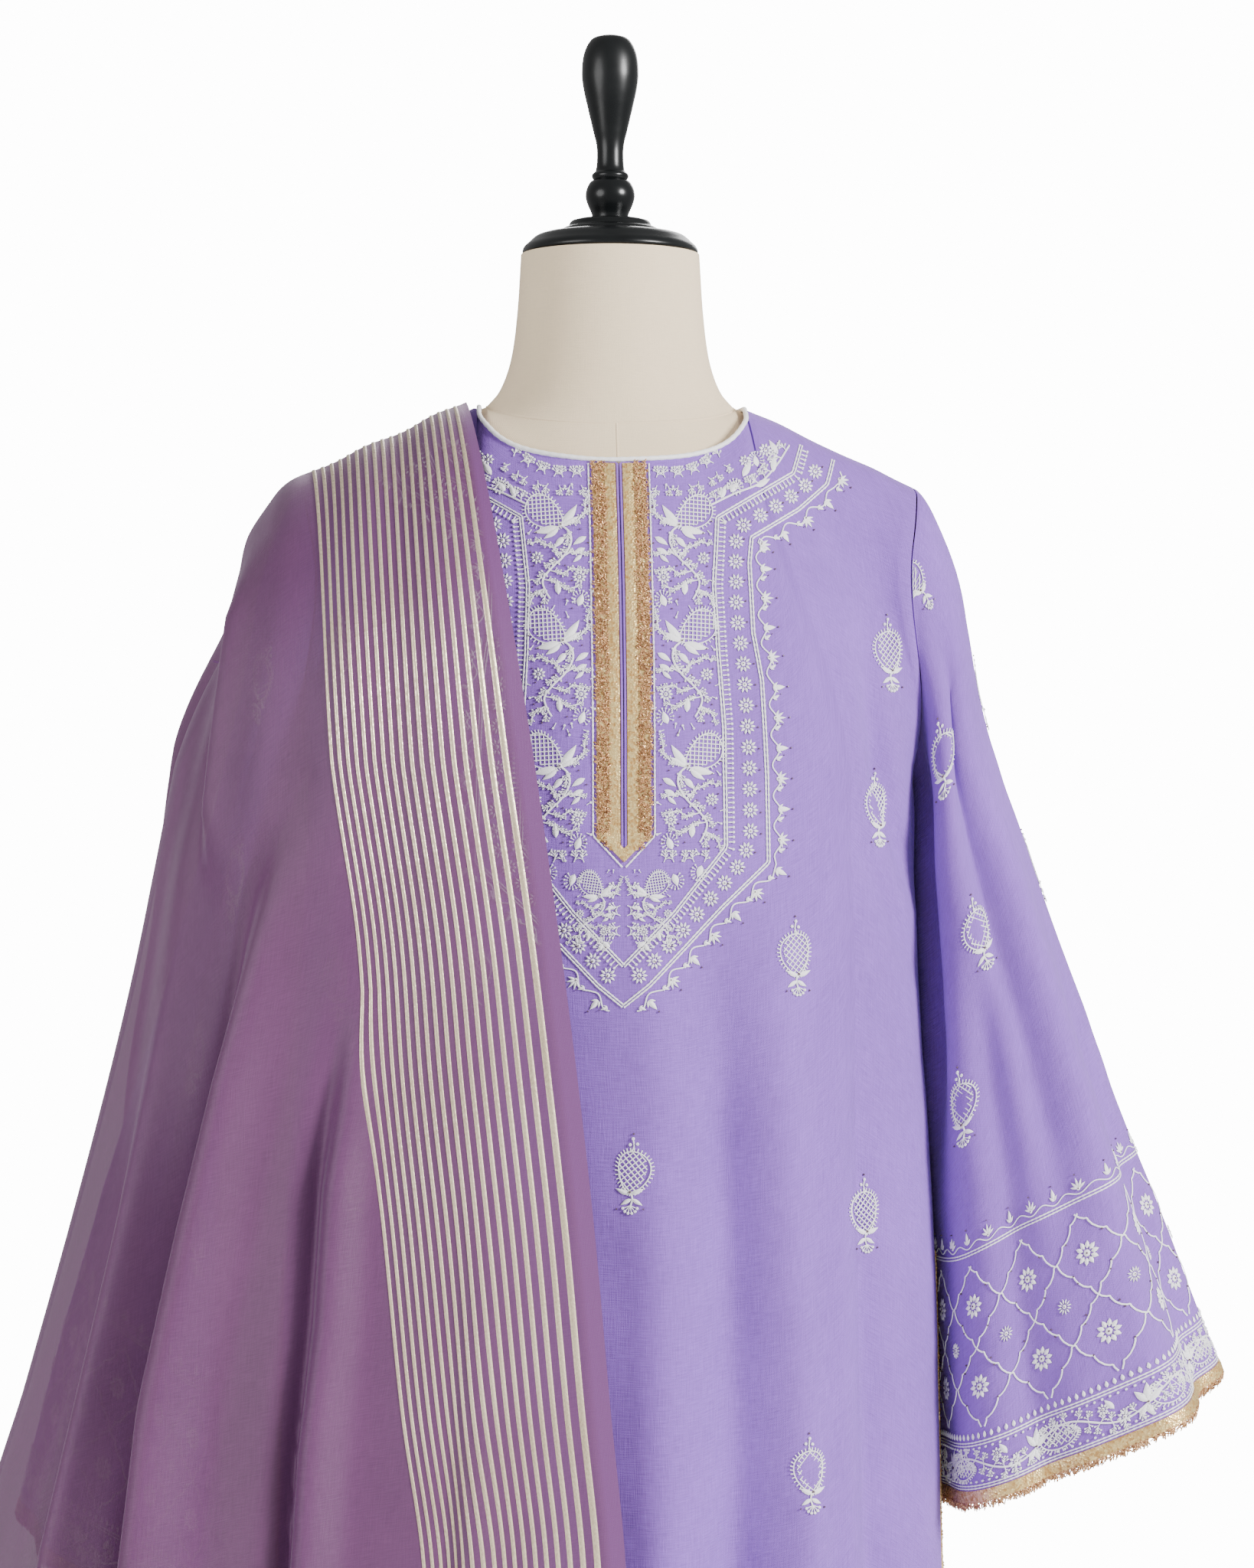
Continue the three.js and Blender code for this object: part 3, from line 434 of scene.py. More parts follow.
def sleeve_surface(hand, around, share):
    """The armhole's ring turns into a slanted oval with flutes that grow to the hem."""
    around, share = matched(around, share)
    out_x, out_z, in_x, in_z, depth = look(SLEEVES[hand], np.minimum(share, 1))
    outer = stacked(hand * out_x, 0 * out_x, out_z)
    under = stacked(hand * in_x, 0 * in_x, in_z)
    reach = (outer - under) / 2
    angle = 2 * np.pi * around
    flute = FLUTE_HEIGHT * share**2 * np.cos(SLEEVE_FLUTES * angle + 0.6)
    grown = 1 + flute / np.linalg.norm(reach, axis=-1)
    oval = (outer + under) / 2 + reach * (np.cos(angle) * grown)[..., None]
    oval[..., 1] -= np.sin(angle) * (depth + flute)
    point = mix(armhole(hand, around), oval, smooth(share, 0, 0.16)[..., None])
    beyond = np.maximum(share - 1, 0) * 600
    return point + beyond[..., None] * np.array([hand * 0.25, 0, -0.97])


def fall_plain(side, share, z):
    """Squared oval from the inner edge round to the outer line, as share goes from 0 to 1."""
    inner, outer, depth, reach, fold, _ = look(DUPATTA[side], z)
    angle = share * np.radians(reach)
    power = 2 / DUPATTA_SQUARENESS
    x = -inner - (outer - inner) * np.maximum(np.sin(angle), 0) ** power
    return stacked(x, side * depth * np.maximum(np.cos(angle), 0) ** power, z), fold


def cloth_share(across, band):
    """Where a thread of the dupatta (across 0 to 1 of its width) lies on the fall, as a share."""
    inside = band * across / BAND_PART
    outside = band + (1 - band) * (across - BAND_PART) / (1 - BAND_PART)
    return np.where(across < BAND_PART, inside, outside)


def dupatta_grid(side, across, upper_rows, fall_rows):
    """A thread bends over the shoulder and then falls; folds run down it and rise off the body."""
    table = DUPATTA[side]
    down = eased(upper_rows)[:, None]
    band = mix(RIDGE_BAND_SHARE, table[-1, 6], down**0.8)
    share = cloth_share(across[None, :], band)
    chest, chest_fold = fall_plain(side, share, np.full(share.shape, CHEST_Z))
    ridge_x, ridge_z = look(DUPATTA_RIDGE, share)
    upper = mix(stacked(-ridge_x, DUPATTA_RIDGE_Y, ridge_z), chest, down[..., None])
    upper[..., 1] = mix(DUPATTA_RIDGE_Y, chest[..., 1], (1 - (1 - down) ** 2.2) ** 0.55)
    fold = mix(DUPATTA_RIDGE_FOLD, chest_fold, down)
    lift = DUPATTA_LIFT * smooth(down, 0, 0.05) * (1 - down) * np.ones(share.shape)
    z = np.linspace(CHEST_Z, table[0, 0], fall_rows + 1)[1:, None] * np.ones(len(across))
    low_share = cloth_share(across[None, :], look(table, z)[5])
    lower, low_fold = fall_plain(side, low_share, z)
    grid = np.concatenate([upper, lower])
    grid[..., 1] += side * HALF_SEAM
    fold = np.concatenate([fold, low_fold])
    share = np.concatenate([share, low_share])
    lift = np.concatenate([lift, 0 * low_share])
    wave = (1 - np.cos(2 * np.pi * DUPATTA_FOLDS * share)) / 2
    return soften(grid, upper_rows, 14, 14), lift + fold * wave


# Meshes

def arc_map(grid):
    """Distances along the rows and down the columns of a grid, in mm, as its flat cloth measure."""
    steps_u = np.linalg.norm(np.diff(grid, axis=1), axis=-1)
    steps_v = np.linalg.norm(np.diff(grid, axis=0), axis=-1)
    u = np.concatenate([np.zeros((len(grid), 1)), np.cumsum(steps_u, 1)], 1)
    v = np.concatenate([np.zeros((1, grid.shape[1])), np.cumsum(steps_v, 0)], 0)
    return np.stack([u - u[:, -1:] / 2, v], -1)


def grid_faces(rows, columns, wrapped=False):
    ids = np.arange(rows * columns).reshape(rows, columns)
    left, right = (ids, np.roll(ids, -1, 1)) if wrapped else (ids[:, :-1], ids[:, 1:])
    return np.stack([left[:-1], right[:-1], right[1:], left[1:]], -1)


def shell_faces(rows, columns, wrapped=False, skip=None):
    """Quads of an outer and an inner grid, with a rim wherever a kept cell meets an open side."""
    a, b, c, d = np.moveaxis(grid_faces(rows, columns, wrapped), -1, 0)
    keep = np.ones(a.shape, bool) if skip is None else ~skip
    sides = "wrap" if wrapped else "constant"
    framed = np.pad(np.pad(keep, ((1, 1), (0, 0))), ((0, 0), (1, 1)), mode=sides)
    far = rows * columns
    rims = [
        ((a, a + far, b + far, b), keep & ~framed[:-2, 1:-1]),
        ((d, c, c + far, d + far), keep & ~framed[2:, 1:-1]),
        ((a, d, d + far, a + far), keep & ~framed[1:-1, :-2]),
        ((b, b + far, c + far, c), keep & ~framed[1:-1, 2:]),
    ]
    walls = [((a, b, c, d), keep), ((a + far, d + far, c + far, b + far), keep)]
    return np.concatenate([np.stack(corners, -1)[chosen] for corners, chosen in walls + rims])


def signed_volume(points, faces):
    a, b, c, d = (points[faces[:, k]] for k in range(4))
    return (np.cross(a, b) * c).sum() + (np.cross(a, c) * d).sum()


def welded(points, faces):
    """Merges points that share a place to a thousandth of a millimetre."""
    _, first, ids = np.unique(np.round(points, 3), axis=0, return_index=True, return_inverse=True)
    return points[first], ids.reshape(-1)[faces]


def make_piece(name, points, faces, material, uv=None, sharp=50.0, shade=None):
    """A mesh object at the origin from points in mm; uv is in mm per point."""
    mesh = bpy.data.meshes.new(name)
    mesh.vertices.add(len(points))
    mesh.vertices.foreach_set("co", (points * MM).astype(np.float32).ravel())
    mesh.loops.add(faces.size)
    mesh.loops.foreach_set("vertex_index", faces.astype(np.int32).ravel())
    mesh.polygons.add(len(faces))
    mesh.polygons.foreach_set("loop_start", np.arange(0, faces.size, faces.shape[1], dtype=np.int32))
    mesh.update(calc_edges=True)
    if uv is not None:
        layer = mesh.uv_layers.new(name="UVMap")
        layer.data.foreach_set("uv", (uv[faces.ravel()] * MM).astype(np.float32).ravel())
    if shade is not None:
        layer = mesh.attributes.new("shade", "FLOAT", "POINT")
        layer.data.foreach_set("value", shade.astype(np.float32))
    mesh.shade_smooth()
    mesh.set_sharp_from_angle(angle=math.radians(sharp))
    mesh.materials.append(material)
    made = bpy.data.objects.new(name, mesh)
    bpy.context.scene.collection.objects.link(made)
    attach(made, "root")
    return made


def make_shell(name, outer, inner, material, wrapped=False, skip=None):
    """A closed thin wall between two grids, turned so that its faces point out."""
    rows, columns = outer.shape[:2]
    faces = shell_faces(rows, columns, wrapped, skip)
    points = np.concatenate([outer.reshape(-1, 3), inner.reshape(-1, 3)])
    if signed_volume(points, faces) < 0:
        faces = faces[:, ::-1]
    flat = np.concatenate([arc_map(outer).reshape(-1, 2)] * 2)
    used = np.zeros(len(points), bool)
    used[faces] = True
    renumber = np.cumsum(used) - 1
    return make_piece(name, points[used], renumber[faces], material, flat[used])


def profile_curve(profile, per_span):
    """A smooth line through a profile's points; a point given twice stays a corner."""
    profile = np.array(profile, float)
    same = np.all(profile[1:] == profile[:-1], 1)
    runs = np.split(profile, np.flatnonzero(same) + 1)
    parts = []
    for run in runs:
        if len(run) == 1:
            continue
        along = length_along(run)
        wanted = np.interp(np.linspace(0, len(run) - 1, (len(run) - 1) * per_span + 1),
                           np.arange(len(run)), along)
        parts.append(look(np.column_stack([along, run]), wanted).T)
    return np.concatenate([part[:-1] for part in parts] + [parts[-1][-1:]])


def make_turned(name, profile, material, segments):
    """A profile turned about the axis; rows are rings, and both ends close in a point."""
    line = profile_curve(profile, 4)
    angle = np.linspace(0, 2 * np.pi, segments, endpoint=False)[None, :]
    radius, height = line[:, :1], line[:, 1:]
    radius = np.maximum(radius, 0)
    grid = stacked(radius * np.cos(angle), radius * np.sin(angle), height)
    points, faces = welded(grid.reshape(-1, 3), grid_faces(*grid.shape[:2], True).reshape(-1, 4))
    return make_closed(name, points, faces, material)


def make_closed(name, points, faces, material, sharp=50.0):
    """Quads whose corners may coincide, such as a pole's, made a clean mesh that faces out."""
    if signed_volume(points, faces) < 0:
        faces = faces[:, ::-1]
    distinct = (np.sort(faces, 1)[:, 1:] != np.sort(faces, 1)[:, :-1]).sum(1) + 1
    whole, part = faces[distinct == 4], faces[distinct == 3]
    doubled = part == np.roll(part, 1, 1)
    order = np.argsort(doubled, axis=1, kind="stable")[:, :3]
    triangles = np.take_along_axis(part, np.sort(order, 1), 1)
    halves = np.concatenate([whole[:, [0, 1, 2]], whole[:, [0, 2, 3]], triangles])
    return make_piece(name, points, halves, material, sharp=sharp)


# Materials

def colour(r, g, b):
    """A linear colour from the 0 to 255 values that a screen shows."""
    share = np.array([r, g, b]) / 255
    linear = np.where(share <= 0.04045, share / 12.92, ((share + 0.055) / 1.055) ** 2.4)
    return (*linear.tolist(), 1.0)


def node(tree, kind, inputs=(), **settings):
    """A node with its settings; each input is a value or another node's output."""
    made = tree.nodes.new(kind)
    for name, value in settings.items():
        setattr(made, name, value)
    for key, value in dict(inputs).items():
        if isinstance(value, bpy.types.NodeSocket):
            tree.links.new(value, made.inputs[key])
        else:
            made.inputs[key].default_value = value
    return made


def blend_colours(tree, factor, a, b, how="MIX"):
    made = node(tree, "ShaderNodeMix", {0: factor, 6: a, 7: b}, data_type="RGBA", blend_type=how)
    return made.outputs[2]


def calculate(tree, how, *values):
    inputs = dict(enumerate(values))
    return node(tree, "ShaderNodeMath", inputs, operation=how).outputs[0]


def ranged(tree, value, low, high, to_low=0.0, to_high=1.0):
    inputs = {"Value": value, "From Min": low, "From Max": high, "To Min": to_low, "To Max": to_high}
    return node(tree, "ShaderNodeMapRange", inputs).outputs[0]


def group(name, sockets):
    """A new shader group with its named sockets, and its input and output nodes."""
    tree = bpy.data.node_groups.new(name, "ShaderNodeTree")
    for label, kind, way in sockets:
        tree.interface.new_socket(label, in_out=way, socket_type=kind)
    return tree, tree.nodes.new("NodeGroupInput").outputs, tree.nodes.new("NodeGroupOutput").inputs


def stretched_noise(tree, vector, scale, detail=2.0):
    placed = node(tree, "ShaderNodeMapping", {"Vector": vector, "Scale": scale}).outputs[0]
    inputs = {"Vector": placed, "Scale": 1.0, "Detail": detail, "Roughness": 0.6}
    return node(tree, "ShaderNodeTexNoise", inputs, noise_dimensions="3D").outputs[0]


def weave_group():
    """Warp and weft threads as two crossed waves, with long slubs as noise stretched along each."""
    tree, given, out = group("Woven thread", [
        ("Vector", "NodeSocketVector", "INPUT"), ("Threads", "NodeSocketFloat", "INPUT"),
        ("Slub", "NodeSocketFloat", "INPUT"), ("Tone", "NodeSocketFloat", "OUTPUT"),
        ("Height", "NodeSocketFloat", "OUTPUT"),
    ])
    vector = given["Vector"]
    weft = stretched_noise(tree, vector, (90.0, 1500.0, 1.0))
    warp = stretched_noise(tree, vector, (1500.0, 70.0, 1.0))
    cloudy = stretched_noise(tree, vector, (14.0, 9.0, 1.0), 3.0)
    slubs = calculate(tree, "ADD", ranged(tree, weft, 0.3, 0.75, -0.55, 0.55),
                      ranged(tree, warp, 0.3, 0.75, -0.45, 0.45))
    slubs = calculate(tree, "MULTIPLY", slubs, given["Slub"])
    parts = node(tree, "ShaderNodeSeparateXYZ", {0: vector})
    waves = []
    for part in (parts.outputs[0], parts.outputs[1]):
        turned = calculate(tree, "MULTIPLY", part, given["Threads"])
        waves.append(calculate(tree, "SINE", turned))
    weave = calculate(tree, "MULTIPLY", waves[0], waves[1])
    tone = calculate(tree, "ADD", slubs, ranged(tree, cloudy, 0.3, 0.7, -0.3, 0.3))
    tree.links.new(tone, out["Tone"])
    tree.links.new(calculate(tree, "ADD", calculate(tree, "MULTIPLY", weave, 0.35), slubs), out["Height"])
    return tree


def wear_group():
    """Slow mottling and fine grain from object space, for handled and dusty surfaces."""
    tree, given, out = group("Soft mottle", [
        ("Vector", "NodeSocketVector", "INPUT"), ("Size", "NodeSocketFloat", "INPUT"),
        ("Mask", "NodeSocketFloat", "OUTPUT"), ("Grain", "NodeSocketFloat", "OUTPUT"),
    ])
    inputs = {"Vector": given["Vector"], "Scale": given["Size"], "Detail": 4.0, "Roughness": 0.62}
    broad = node(tree, "ShaderNodeTexNoise", inputs).outputs[0]
    tree.links.new(ranged(tree, broad, 0.35, 0.7), out["Mask"])
    fine = calculate(tree, "MULTIPLY", given["Size"], 24.0)
    inputs = {"Vector": given["Vector"], "Scale": fine, "Detail": 3.0}
    tree.links.new(node(tree, "ShaderNodeTexNoise", inputs).outputs[0], out["Grain"])
    return tree


GROUPS = {}


def shared(name):
    if name not in GROUPS:
        GROUPS[name] = {"weave": weave_group, "mottle": wear_group}[name]()
    return GROUPS[name]


def woven(tree, vector, threads, slub):
    """The outputs of the weave over a vector."""
    inputs = {"Vector": vector, "Threads": threads, "Slub": slub}
    return node(tree, "ShaderNodeGroup", inputs, node_tree=shared("weave")).outputs


def mottled(tree, size):
    """The outputs of the mottle over object space."""
    inputs = {"Vector": coordinates(tree, "Object"), "Size": size}
    return node(tree, "ShaderNodeGroup", inputs, node_tree=shared("mottle")).outputs


def new_material(name, **values):
    """A material with its Principled BSDF, uniform values set on the shader's own sockets."""
    made = bpy.data.materials.new(name)
    made.use_nodes = True
    shader = made.node_tree.nodes["Principled BSDF"]
    for key, value in values.items():
        shader.inputs[key.replace("_", " ")].default_value = value
    return made, made.node_tree, shader


def coordinates(tree, kind="UV"):
    return node(tree, "ShaderNodeTexCoord").outputs[kind]


def raise_bump(tree, shader, height, distance, strength=0.6):
    inputs = {"Height": height, "Distance": distance, "Strength": strength}
    bump = node(tree, "ShaderNodeBump", inputs)
    tree.links.new(bump.outputs[0], shader.inputs["Normal"])


def toned(tree, base, tone, spread):
    """The base colour made darker or lighter by a tone of about -1 to 1."""
    dark = tuple(c * (1 - spread) for c in base[:3]) + (1.0,)
    light = tuple(min(c * (1 + spread), 1.0) for c in base[:3]) + (1.0,)
    return blend_colours(tree, ranged(tree, tone, -0.8, 0.8), dark, light)


def cotton(name, tint):
    """Plain-woven slub cotton."""
    made, tree, shader = new_material(
        name, Roughness=0.88, Sheen_Weight=0.22, Sheen_Roughness=0.45, Specular_IOR_Level=0.25)
    shader.inputs["Sheen Tint"].default_value = (0.86, 0.8, 1.0, 1.0)
    weave = woven(tree, coordinates(tree), 6283.0, 1.0)
    tree.links.new(toned(tree, tint, weave["Tone"], 0.2), shader.inputs["Base Color"])
    raise_bump(tree, shader, weave["Height"], 0.0004, 0.5)
    return made


def organza(name, tint, hem_tint):
    """Sheer crisp cloth: see-through between its threads, denser along its folded hem."""
    made, tree, shader = new_material(
        name, Roughness=0.42, Sheen_Weight=0.55, Sheen_Roughness=0.3, Specular_IOR_Level=0.4)
    shader.inputs["Sheen Tint"].default_value = (0.93, 0.74, 0.95, 1.0)
    weave = woven(tree, coordinates(tree), 9500.0, 0.7)
    tone = weave["Tone"]
    hem = node(tree, "ShaderNodeAttribute", attribute_name="shade").outputs["Fac"]
    body = toned(tree, tint, tone, 0.16)
    tree.links.new(blend_colours(tree, hem, body, hem_tint), shader.inputs["Base Color"])
    cover = calculate(tree, "ADD", ranged(tree, tone, -1.0, 1.0, 0.84, 0.92),
                      calculate(tree, "MULTIPLY", hem, 0.24))
    tree.links.new(cover, shader.inputs["Alpha"])
    raise_bump(tree, shader, weave["Height"], 0.0003, 0.35)
    return made


def embroidery(name, tint):
    """Stranded cotton thread: fine twisted strands with a soft shine."""
    made, tree, shader = new_material(
        name, Roughness=0.55, Sheen_Weight=0.3, Sheen_Roughness=0.4, Specular_IOR_Level=0.4)
    grain = mottled(tree, 90.0)["Grain"]
    tone = ranged(tree, grain, 0.0, 1.0, -0.9, 0.9)
    tree.links.new(toned(tree, tint, tone, 0.12), shader.inputs["Base Color"])
    raise_bump(tree, shader, grain, 0.0004, 0.5)
    return made


def metal_thread(name, light, dark, size=700.0, rough=0.34):
    """Metallic yarn: glints of light thread between darker ones."""
    made, tree, shader = new_material(name, Metallic=0.5, Specular_IOR_Level=0.6)
    inputs = {"Vector": coordinates(tree, "Object"), "Scale": size, "Randomness": 0.9}
    cells = node(tree, "ShaderNodeTexVoronoi", inputs)
    grain = node(tree, "ShaderNodeSeparateColor", {0: cells.outputs["Color"]}).outputs[0]
    tree.links.new(blend_colours(tree, grain, dark, light), shader.inputs["Base Color"])
    tree.links.new(ranged(tree, grain, 0.0, 1.0, rough + 0.2, rough - 0.1), shader.inputs["Roughness"])
    raise_bump(tree, shader, cells.outputs["Distance"], 0.0006, 0.6)
    return made


def stripe_metal(name, light, dark):
    """Flat metallic ribbon woven in: crosswise dashes of bright and dull strip along UV."""
    made, tree, shader = new_material(name, Metallic=0.6, Specular_IOR_Level=0.6)
    vector = coordinates(tree)
    dash = stretched_noise(tree, vector, (900.0, 420.0, 1.0), 2.0)
    slow = stretched_noise(tree, vector, (30.0, 12.0, 1.0), 2.0)
    strong, weak = calculate(tree, "MULTIPLY", dash, 0.8), calculate(tree, "MULTIPLY", slow, 0.4)
    tone = ranged(tree, calculate(tree, "ADD", strong, weak), 0.35, 0.8)
    tree.links.new(blend_colours(tree, tone, dark, light), shader.inputs["Base Color"])
    tree.links.new(ranged(tree, dash, 0.3, 0.7, 0.5, 0.28), shader.inputs["Roughness"])
    raise_bump(tree, shader, dash, 0.0004, 0.5)
    return made


def linen(name, tint):
    """Form cover: a tight natural linen, a little soiled where hands hold it."""
    made, tree, shader = new_material(
        name, Roughness=0.9, Sheen_Weight=0.12, Sheen_Roughness=0.5, Specular_IOR_Level=0.2)
    place = node(tree, "ShaderNodeSeparateXYZ", {0: coordinates(tree, "Object")}).outputs
    turn = calculate(tree, "ARCTAN2", place["X"], calculate(tree, "MULTIPLY", place["Y"], -1.0))
    around = calculate(tree, "MULTIPLY", turn, NECK_ROUND)
    wrapped = node(tree, "ShaderNodeCombineXYZ", {"X": around, "Y": place["Z"]}).outputs[0]
    weave = woven(tree, wrapped, 7000.0, 0.6)
    soil = calculate(tree, "MULTIPLY", mottled(tree, 9.0)["Mask"], 0.35)
    dull = tuple(c * 0.88 for c in tint[:3]) + (1.0,)
    base = toned(tree, tint, weave["Tone"], 0.07)
    tree.links.new(blend_colours(tree, soil, base, dull), shader.inputs["Base Color"])
    raise_bump(tree, shader, weave["Height"], 0.0003, 0.4)
    return made


def lacquer(name, tint, rough, grain=(40.0, 40.0, 4.0)):
    """Black finish over turned wood or steel: faint long grain, handling marks in the gloss."""
    made, tree, shader = new_material(name, Coat_Weight=0.12, Coat_Roughness=0.2, Specular_IOR_Level=0.28)
    streak = stretched_noise(tree, coordinates(tree, "Object"), grain, 4.0)
    worn = tuple(min(c * 1.6 + 0.001, 1) for c in tint[:3]) + (1.0,)
    shown = blend_colours(tree, ranged(tree, streak, 0.35, 0.8), tint, worn)
    tree.links.new(shown, shader.inputs["Base Color"])
    handled = ranged(tree, mottled(tree, 22.0)["Mask"], 0.0, 1.0, rough - 0.05, rough + 0.12)
    tree.links.new(handled, shader.inputs["Roughness"])
    raise_bump(tree, shader, streak, 0.0003, 0.25)
    return made


def plain_floor(name, tint):
    """Smooth painted studio floor with barely seen mottling."""
    made, tree, shader = new_material(name, Roughness=0.8, Specular_IOR_Level=0.2)
    mask = mottled(tree, 1.5)["Mask"]
    tree.links.new(toned(tree, tint, mask, 0.02), shader.inputs["Base Color"])
    return made


def setting(name):
    """A colour of the settings, fully opaque."""
    return (*getattr(bpy.context.scene.kurta_colours, name), 1.0)


FINISHES = {
    "kurta_cotton": lambda name: cotton(name, setting("kurta")),
    "white_thread": lambda name: embroidery(name, colour(253, 251, 255)),
    "dark_bead": lambda name: lacquer(name, colour(88, 70, 78), 0.3),
    "gold_braid": lambda name: metal_thread(name, setting("gold"), colour(182, 138, 78)),
    "copper_tuft": lambda name: metal_thread(name, setting("copper"), colour(132, 84, 50), 900.0, 0.3),
    "stripe_gold": lambda name: stripe_metal(name, colour(240, 224, 196), setting("stripe")),
    "dupatta_organza": lambda name: organza(name, setting("dupatta"), colour(112, 66, 118)),
    "form_linen": lambda name: linen(name, setting("linen")),
    "black_lacquer": lambda name: lacquer(name, colour(9, 11, 12), 0.3),
    "black_steel": lambda name: lacquer(name, colour(22, 22, 24), 0.42, (160.0, 160.0, 160.0)),
    "floor": lambda name: plain_floor(name, colour(240, 240, 240)),
}
MATERIALS = {}


def material(name):
    """Each finish is made once."""
    if name not in MATERIALS:
        MATERIALS[name] = FINISHES[name](name)
    return MATERIALS[name]


# The dress form

def form_points():
    """Front and back patches in one turning sense: neck, yoke and trunk, with the armhole plates."""
    sides = np.linspace(NECK_SHARE, 1, 13)[1:]
    neck_turns = np.linspace(-NECK_SHARE, NECK_SHARE, 49)
    turns = np.concatenate([-sides[::-1], neck_turns, sides])
    down = eased(28)[:, None]
    z = np.linspace(CHEST_Z, FORM_FOOT_Z, 40)[:, None]
    patches = []
    for side in (-1, 1):
        rise = np.linspace(1, 0, 22)[:, None] ** 1.3
        half, front, back = look(NECK, rise * np.ones(neck_turns.shape))
        angle = neck_turns[None, :] / NECK_SHARE * np.pi / 2
        base = form_top(side, neck_turns)[None, :, 2]
        neck = stacked(half * np.sin(angle), side * pick((front, back), side) * np.cos(angle),
                       mix(base, NECK_TOP_Z, rise))
        crown = neck[:1] * np.array([0, 0, 1])
        trunk = section(FORM, side, *np.broadcast_arrays(turns[None, :], z))
        foot = trunk[-1:] * np.array([0, 0, 1])
        upper = form_upper(side, turns[None, :], down)
        for grid in (np.concatenate([crown, neck]), upper, np.concatenate([trunk, foot])):
            patches.append(grid if side < 0 else grid[:, ::-1])
    for hand in (-1, 1):
        edges = [form_upper(side, hand, down[:, 0]) for side in (-1, 1)]
        plate = np.stack([edges[0], (edges[0] + edges[1]) / 2, edges[1]], 1)
        patches.append(plate if hand > 0 else plate[:, ::-1])
    return patches


def gathered(patches):
    """Several grids as one array of points and one of faces."""
    points, faces, count = [], [], 0
    for grid in patches:
        points.append(grid.reshape(-1, 3))
        faces.append(grid_faces(*grid.shape[:2]).reshape(-1, 4) + count)
        count += grid.shape[0] * grid.shape[1]
    return np.concatenate(points), np.concatenate(faces)


def joined_grids(patches):
    return welded(*gathered(patches))


def columns_at(grid, across, wanted):
    """Columns of a grid at some values across it, between its own."""
    columns = np.interp(wanted, across, np.arange(len(across)))
    low = np.minimum(np.floor(columns).astype(int), len(across) - 2)
    part = (columns - low)[None, :, None]
    return grid[:, low] * (1 - part) + grid[:, low + 1] * part


def surface_ribbon(path, normals, width, height):
    """A low half-round rib along a 3-D path: its section is a half ellipse over the surface."""
    along = unit(np.gradient(path, axis=0))
    aside = unit(np.cross(along, normals))
    angle = np.linspace(0, np.pi, 6)
    across = aside[:, None] * (width / 2 * np.cos(angle))[None, :, None]
    return path[:, None] + across + normals[:, None] * (height * np.sin(angle) - 0.1)[None, :, None]


def form_seams():
    """Ribs along the neck's base seam and the centre seams."""
    grids = []
    for side in (-1, 1):
        turns = np.linspace(-NECK_SHARE, NECK_SHARE, 61)
        path = form_top(side, turns)
        around = unit(path * np.array([1, 1, 0]) + np.array([0, 0, 45.0]))
        grids.append(surface_ribbon(path, around, 1.6, 0.5))
        down = np.linspace(0, 1, 40)
        centre = form_upper(side, np.zeros(40), down)
        grids.append(surface_ribbon(centre, outward(side, np.zeros(40), down), 1.3, 0.45))
    return joined_grids(grids)


def build_form():
    points, faces = joined_grids(form_points())
    body = make_closed("form_linen_cover", points, faces, material("form_linen"), 40.0)
    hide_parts("form_body")
    points, faces = form_seams()
    seams = make_piece("form_seams", points, faces, material("form_linen"))
    turned = (
        ("cap_turned", CAP_PROFILE, "form_cap", "black_lacquer", 96),
        ("finial_turned", FINIAL_PROFILE, "form_finial", "black_lacquer", 72),
        ("pole_steel", POLE_PROFILE, "stand_pole", "black_steel", 48),
        ("base_steel", BASE_PROFILE, "stand_base", "black_steel", 128),
    )
    for name, profile, stands_for, finish, segments in turned:
        piece = make_turned(name, profile, material(finish), segments)
        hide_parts(stands_for)


# The kurta

def build_panels(thickness):
    for side, word, columns, upper_rows, lower_rows in PANELS:
        turns, grid = panel_grid(side, columns, upper_rows, lower_rows)
        normals = grid_normals(grid, side)
        level = np.zeros(grid.shape[:2], bool)
        level[0] = np.abs(turns) >= NECKLINE_SHARE - 1e-6
        level[upper_rows:, [0, -1]] = True
        normals[..., 1] = np.where(level, 0, normals[..., 1])
        inner = grid - unit(normals) * thickness
        skip = None
        if side < 0:
            skip = np.zeros((grid.shape[0] - 1, grid.shape[1] - 1), bool)
            middle = np.flatnonzero(turns > 0)[0] - 1
            skip[:, middle] = grid[1:, middle, 2] > FRONT_SLIT_END_Z
        name = "kurta_" + word
        piece = make_shell(name + "_panel", grid, inner, material("kurta_cotton"), skip=skip)
        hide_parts(name)
        SURFACES[word] = (grid, turns)


SLEEVE_FOLDS = {
    1: [(-7, 0.22, 0.03, 0.06, 0.62), (5, 0.17, 0.035, 0.3, 1.0), (-5, 0.3, 0.03, 0.36, 1.0),
        (-4, 0.08, 0.03, 0.5, 1.0), (-6, 0.43, 0.03, 0.0, 0.4), (-5, 0.72, 0.035, 0.2, 1.0),
        (5, 0.62, 0.03, 0.4, 1.0), (-4, 0.88, 0.03, 0.3, 0.9), (-5, 0.56, 0.03, 0.0, 0.5)],
    -1: [(-7, 0.24, 0.03, 0.06, 0.62), (5, 0.15, 0.035, 0.3, 1.0), (-5, 0.33, 0.03, 0.3, 1.0),
         (-4, 0.06, 0.03, 0.5, 1.0), (-6, 0.42, 0.03, 0.0, 0.4), (-5, 0.7, 0.035, 0.2, 1.0),
         (5, 0.6, 0.03, 0.4, 1.0), (-4, 0.86, 0.03, 0.3, 0.9), (-5, 0.57, 0.03, 0.0, 0.5)],
}


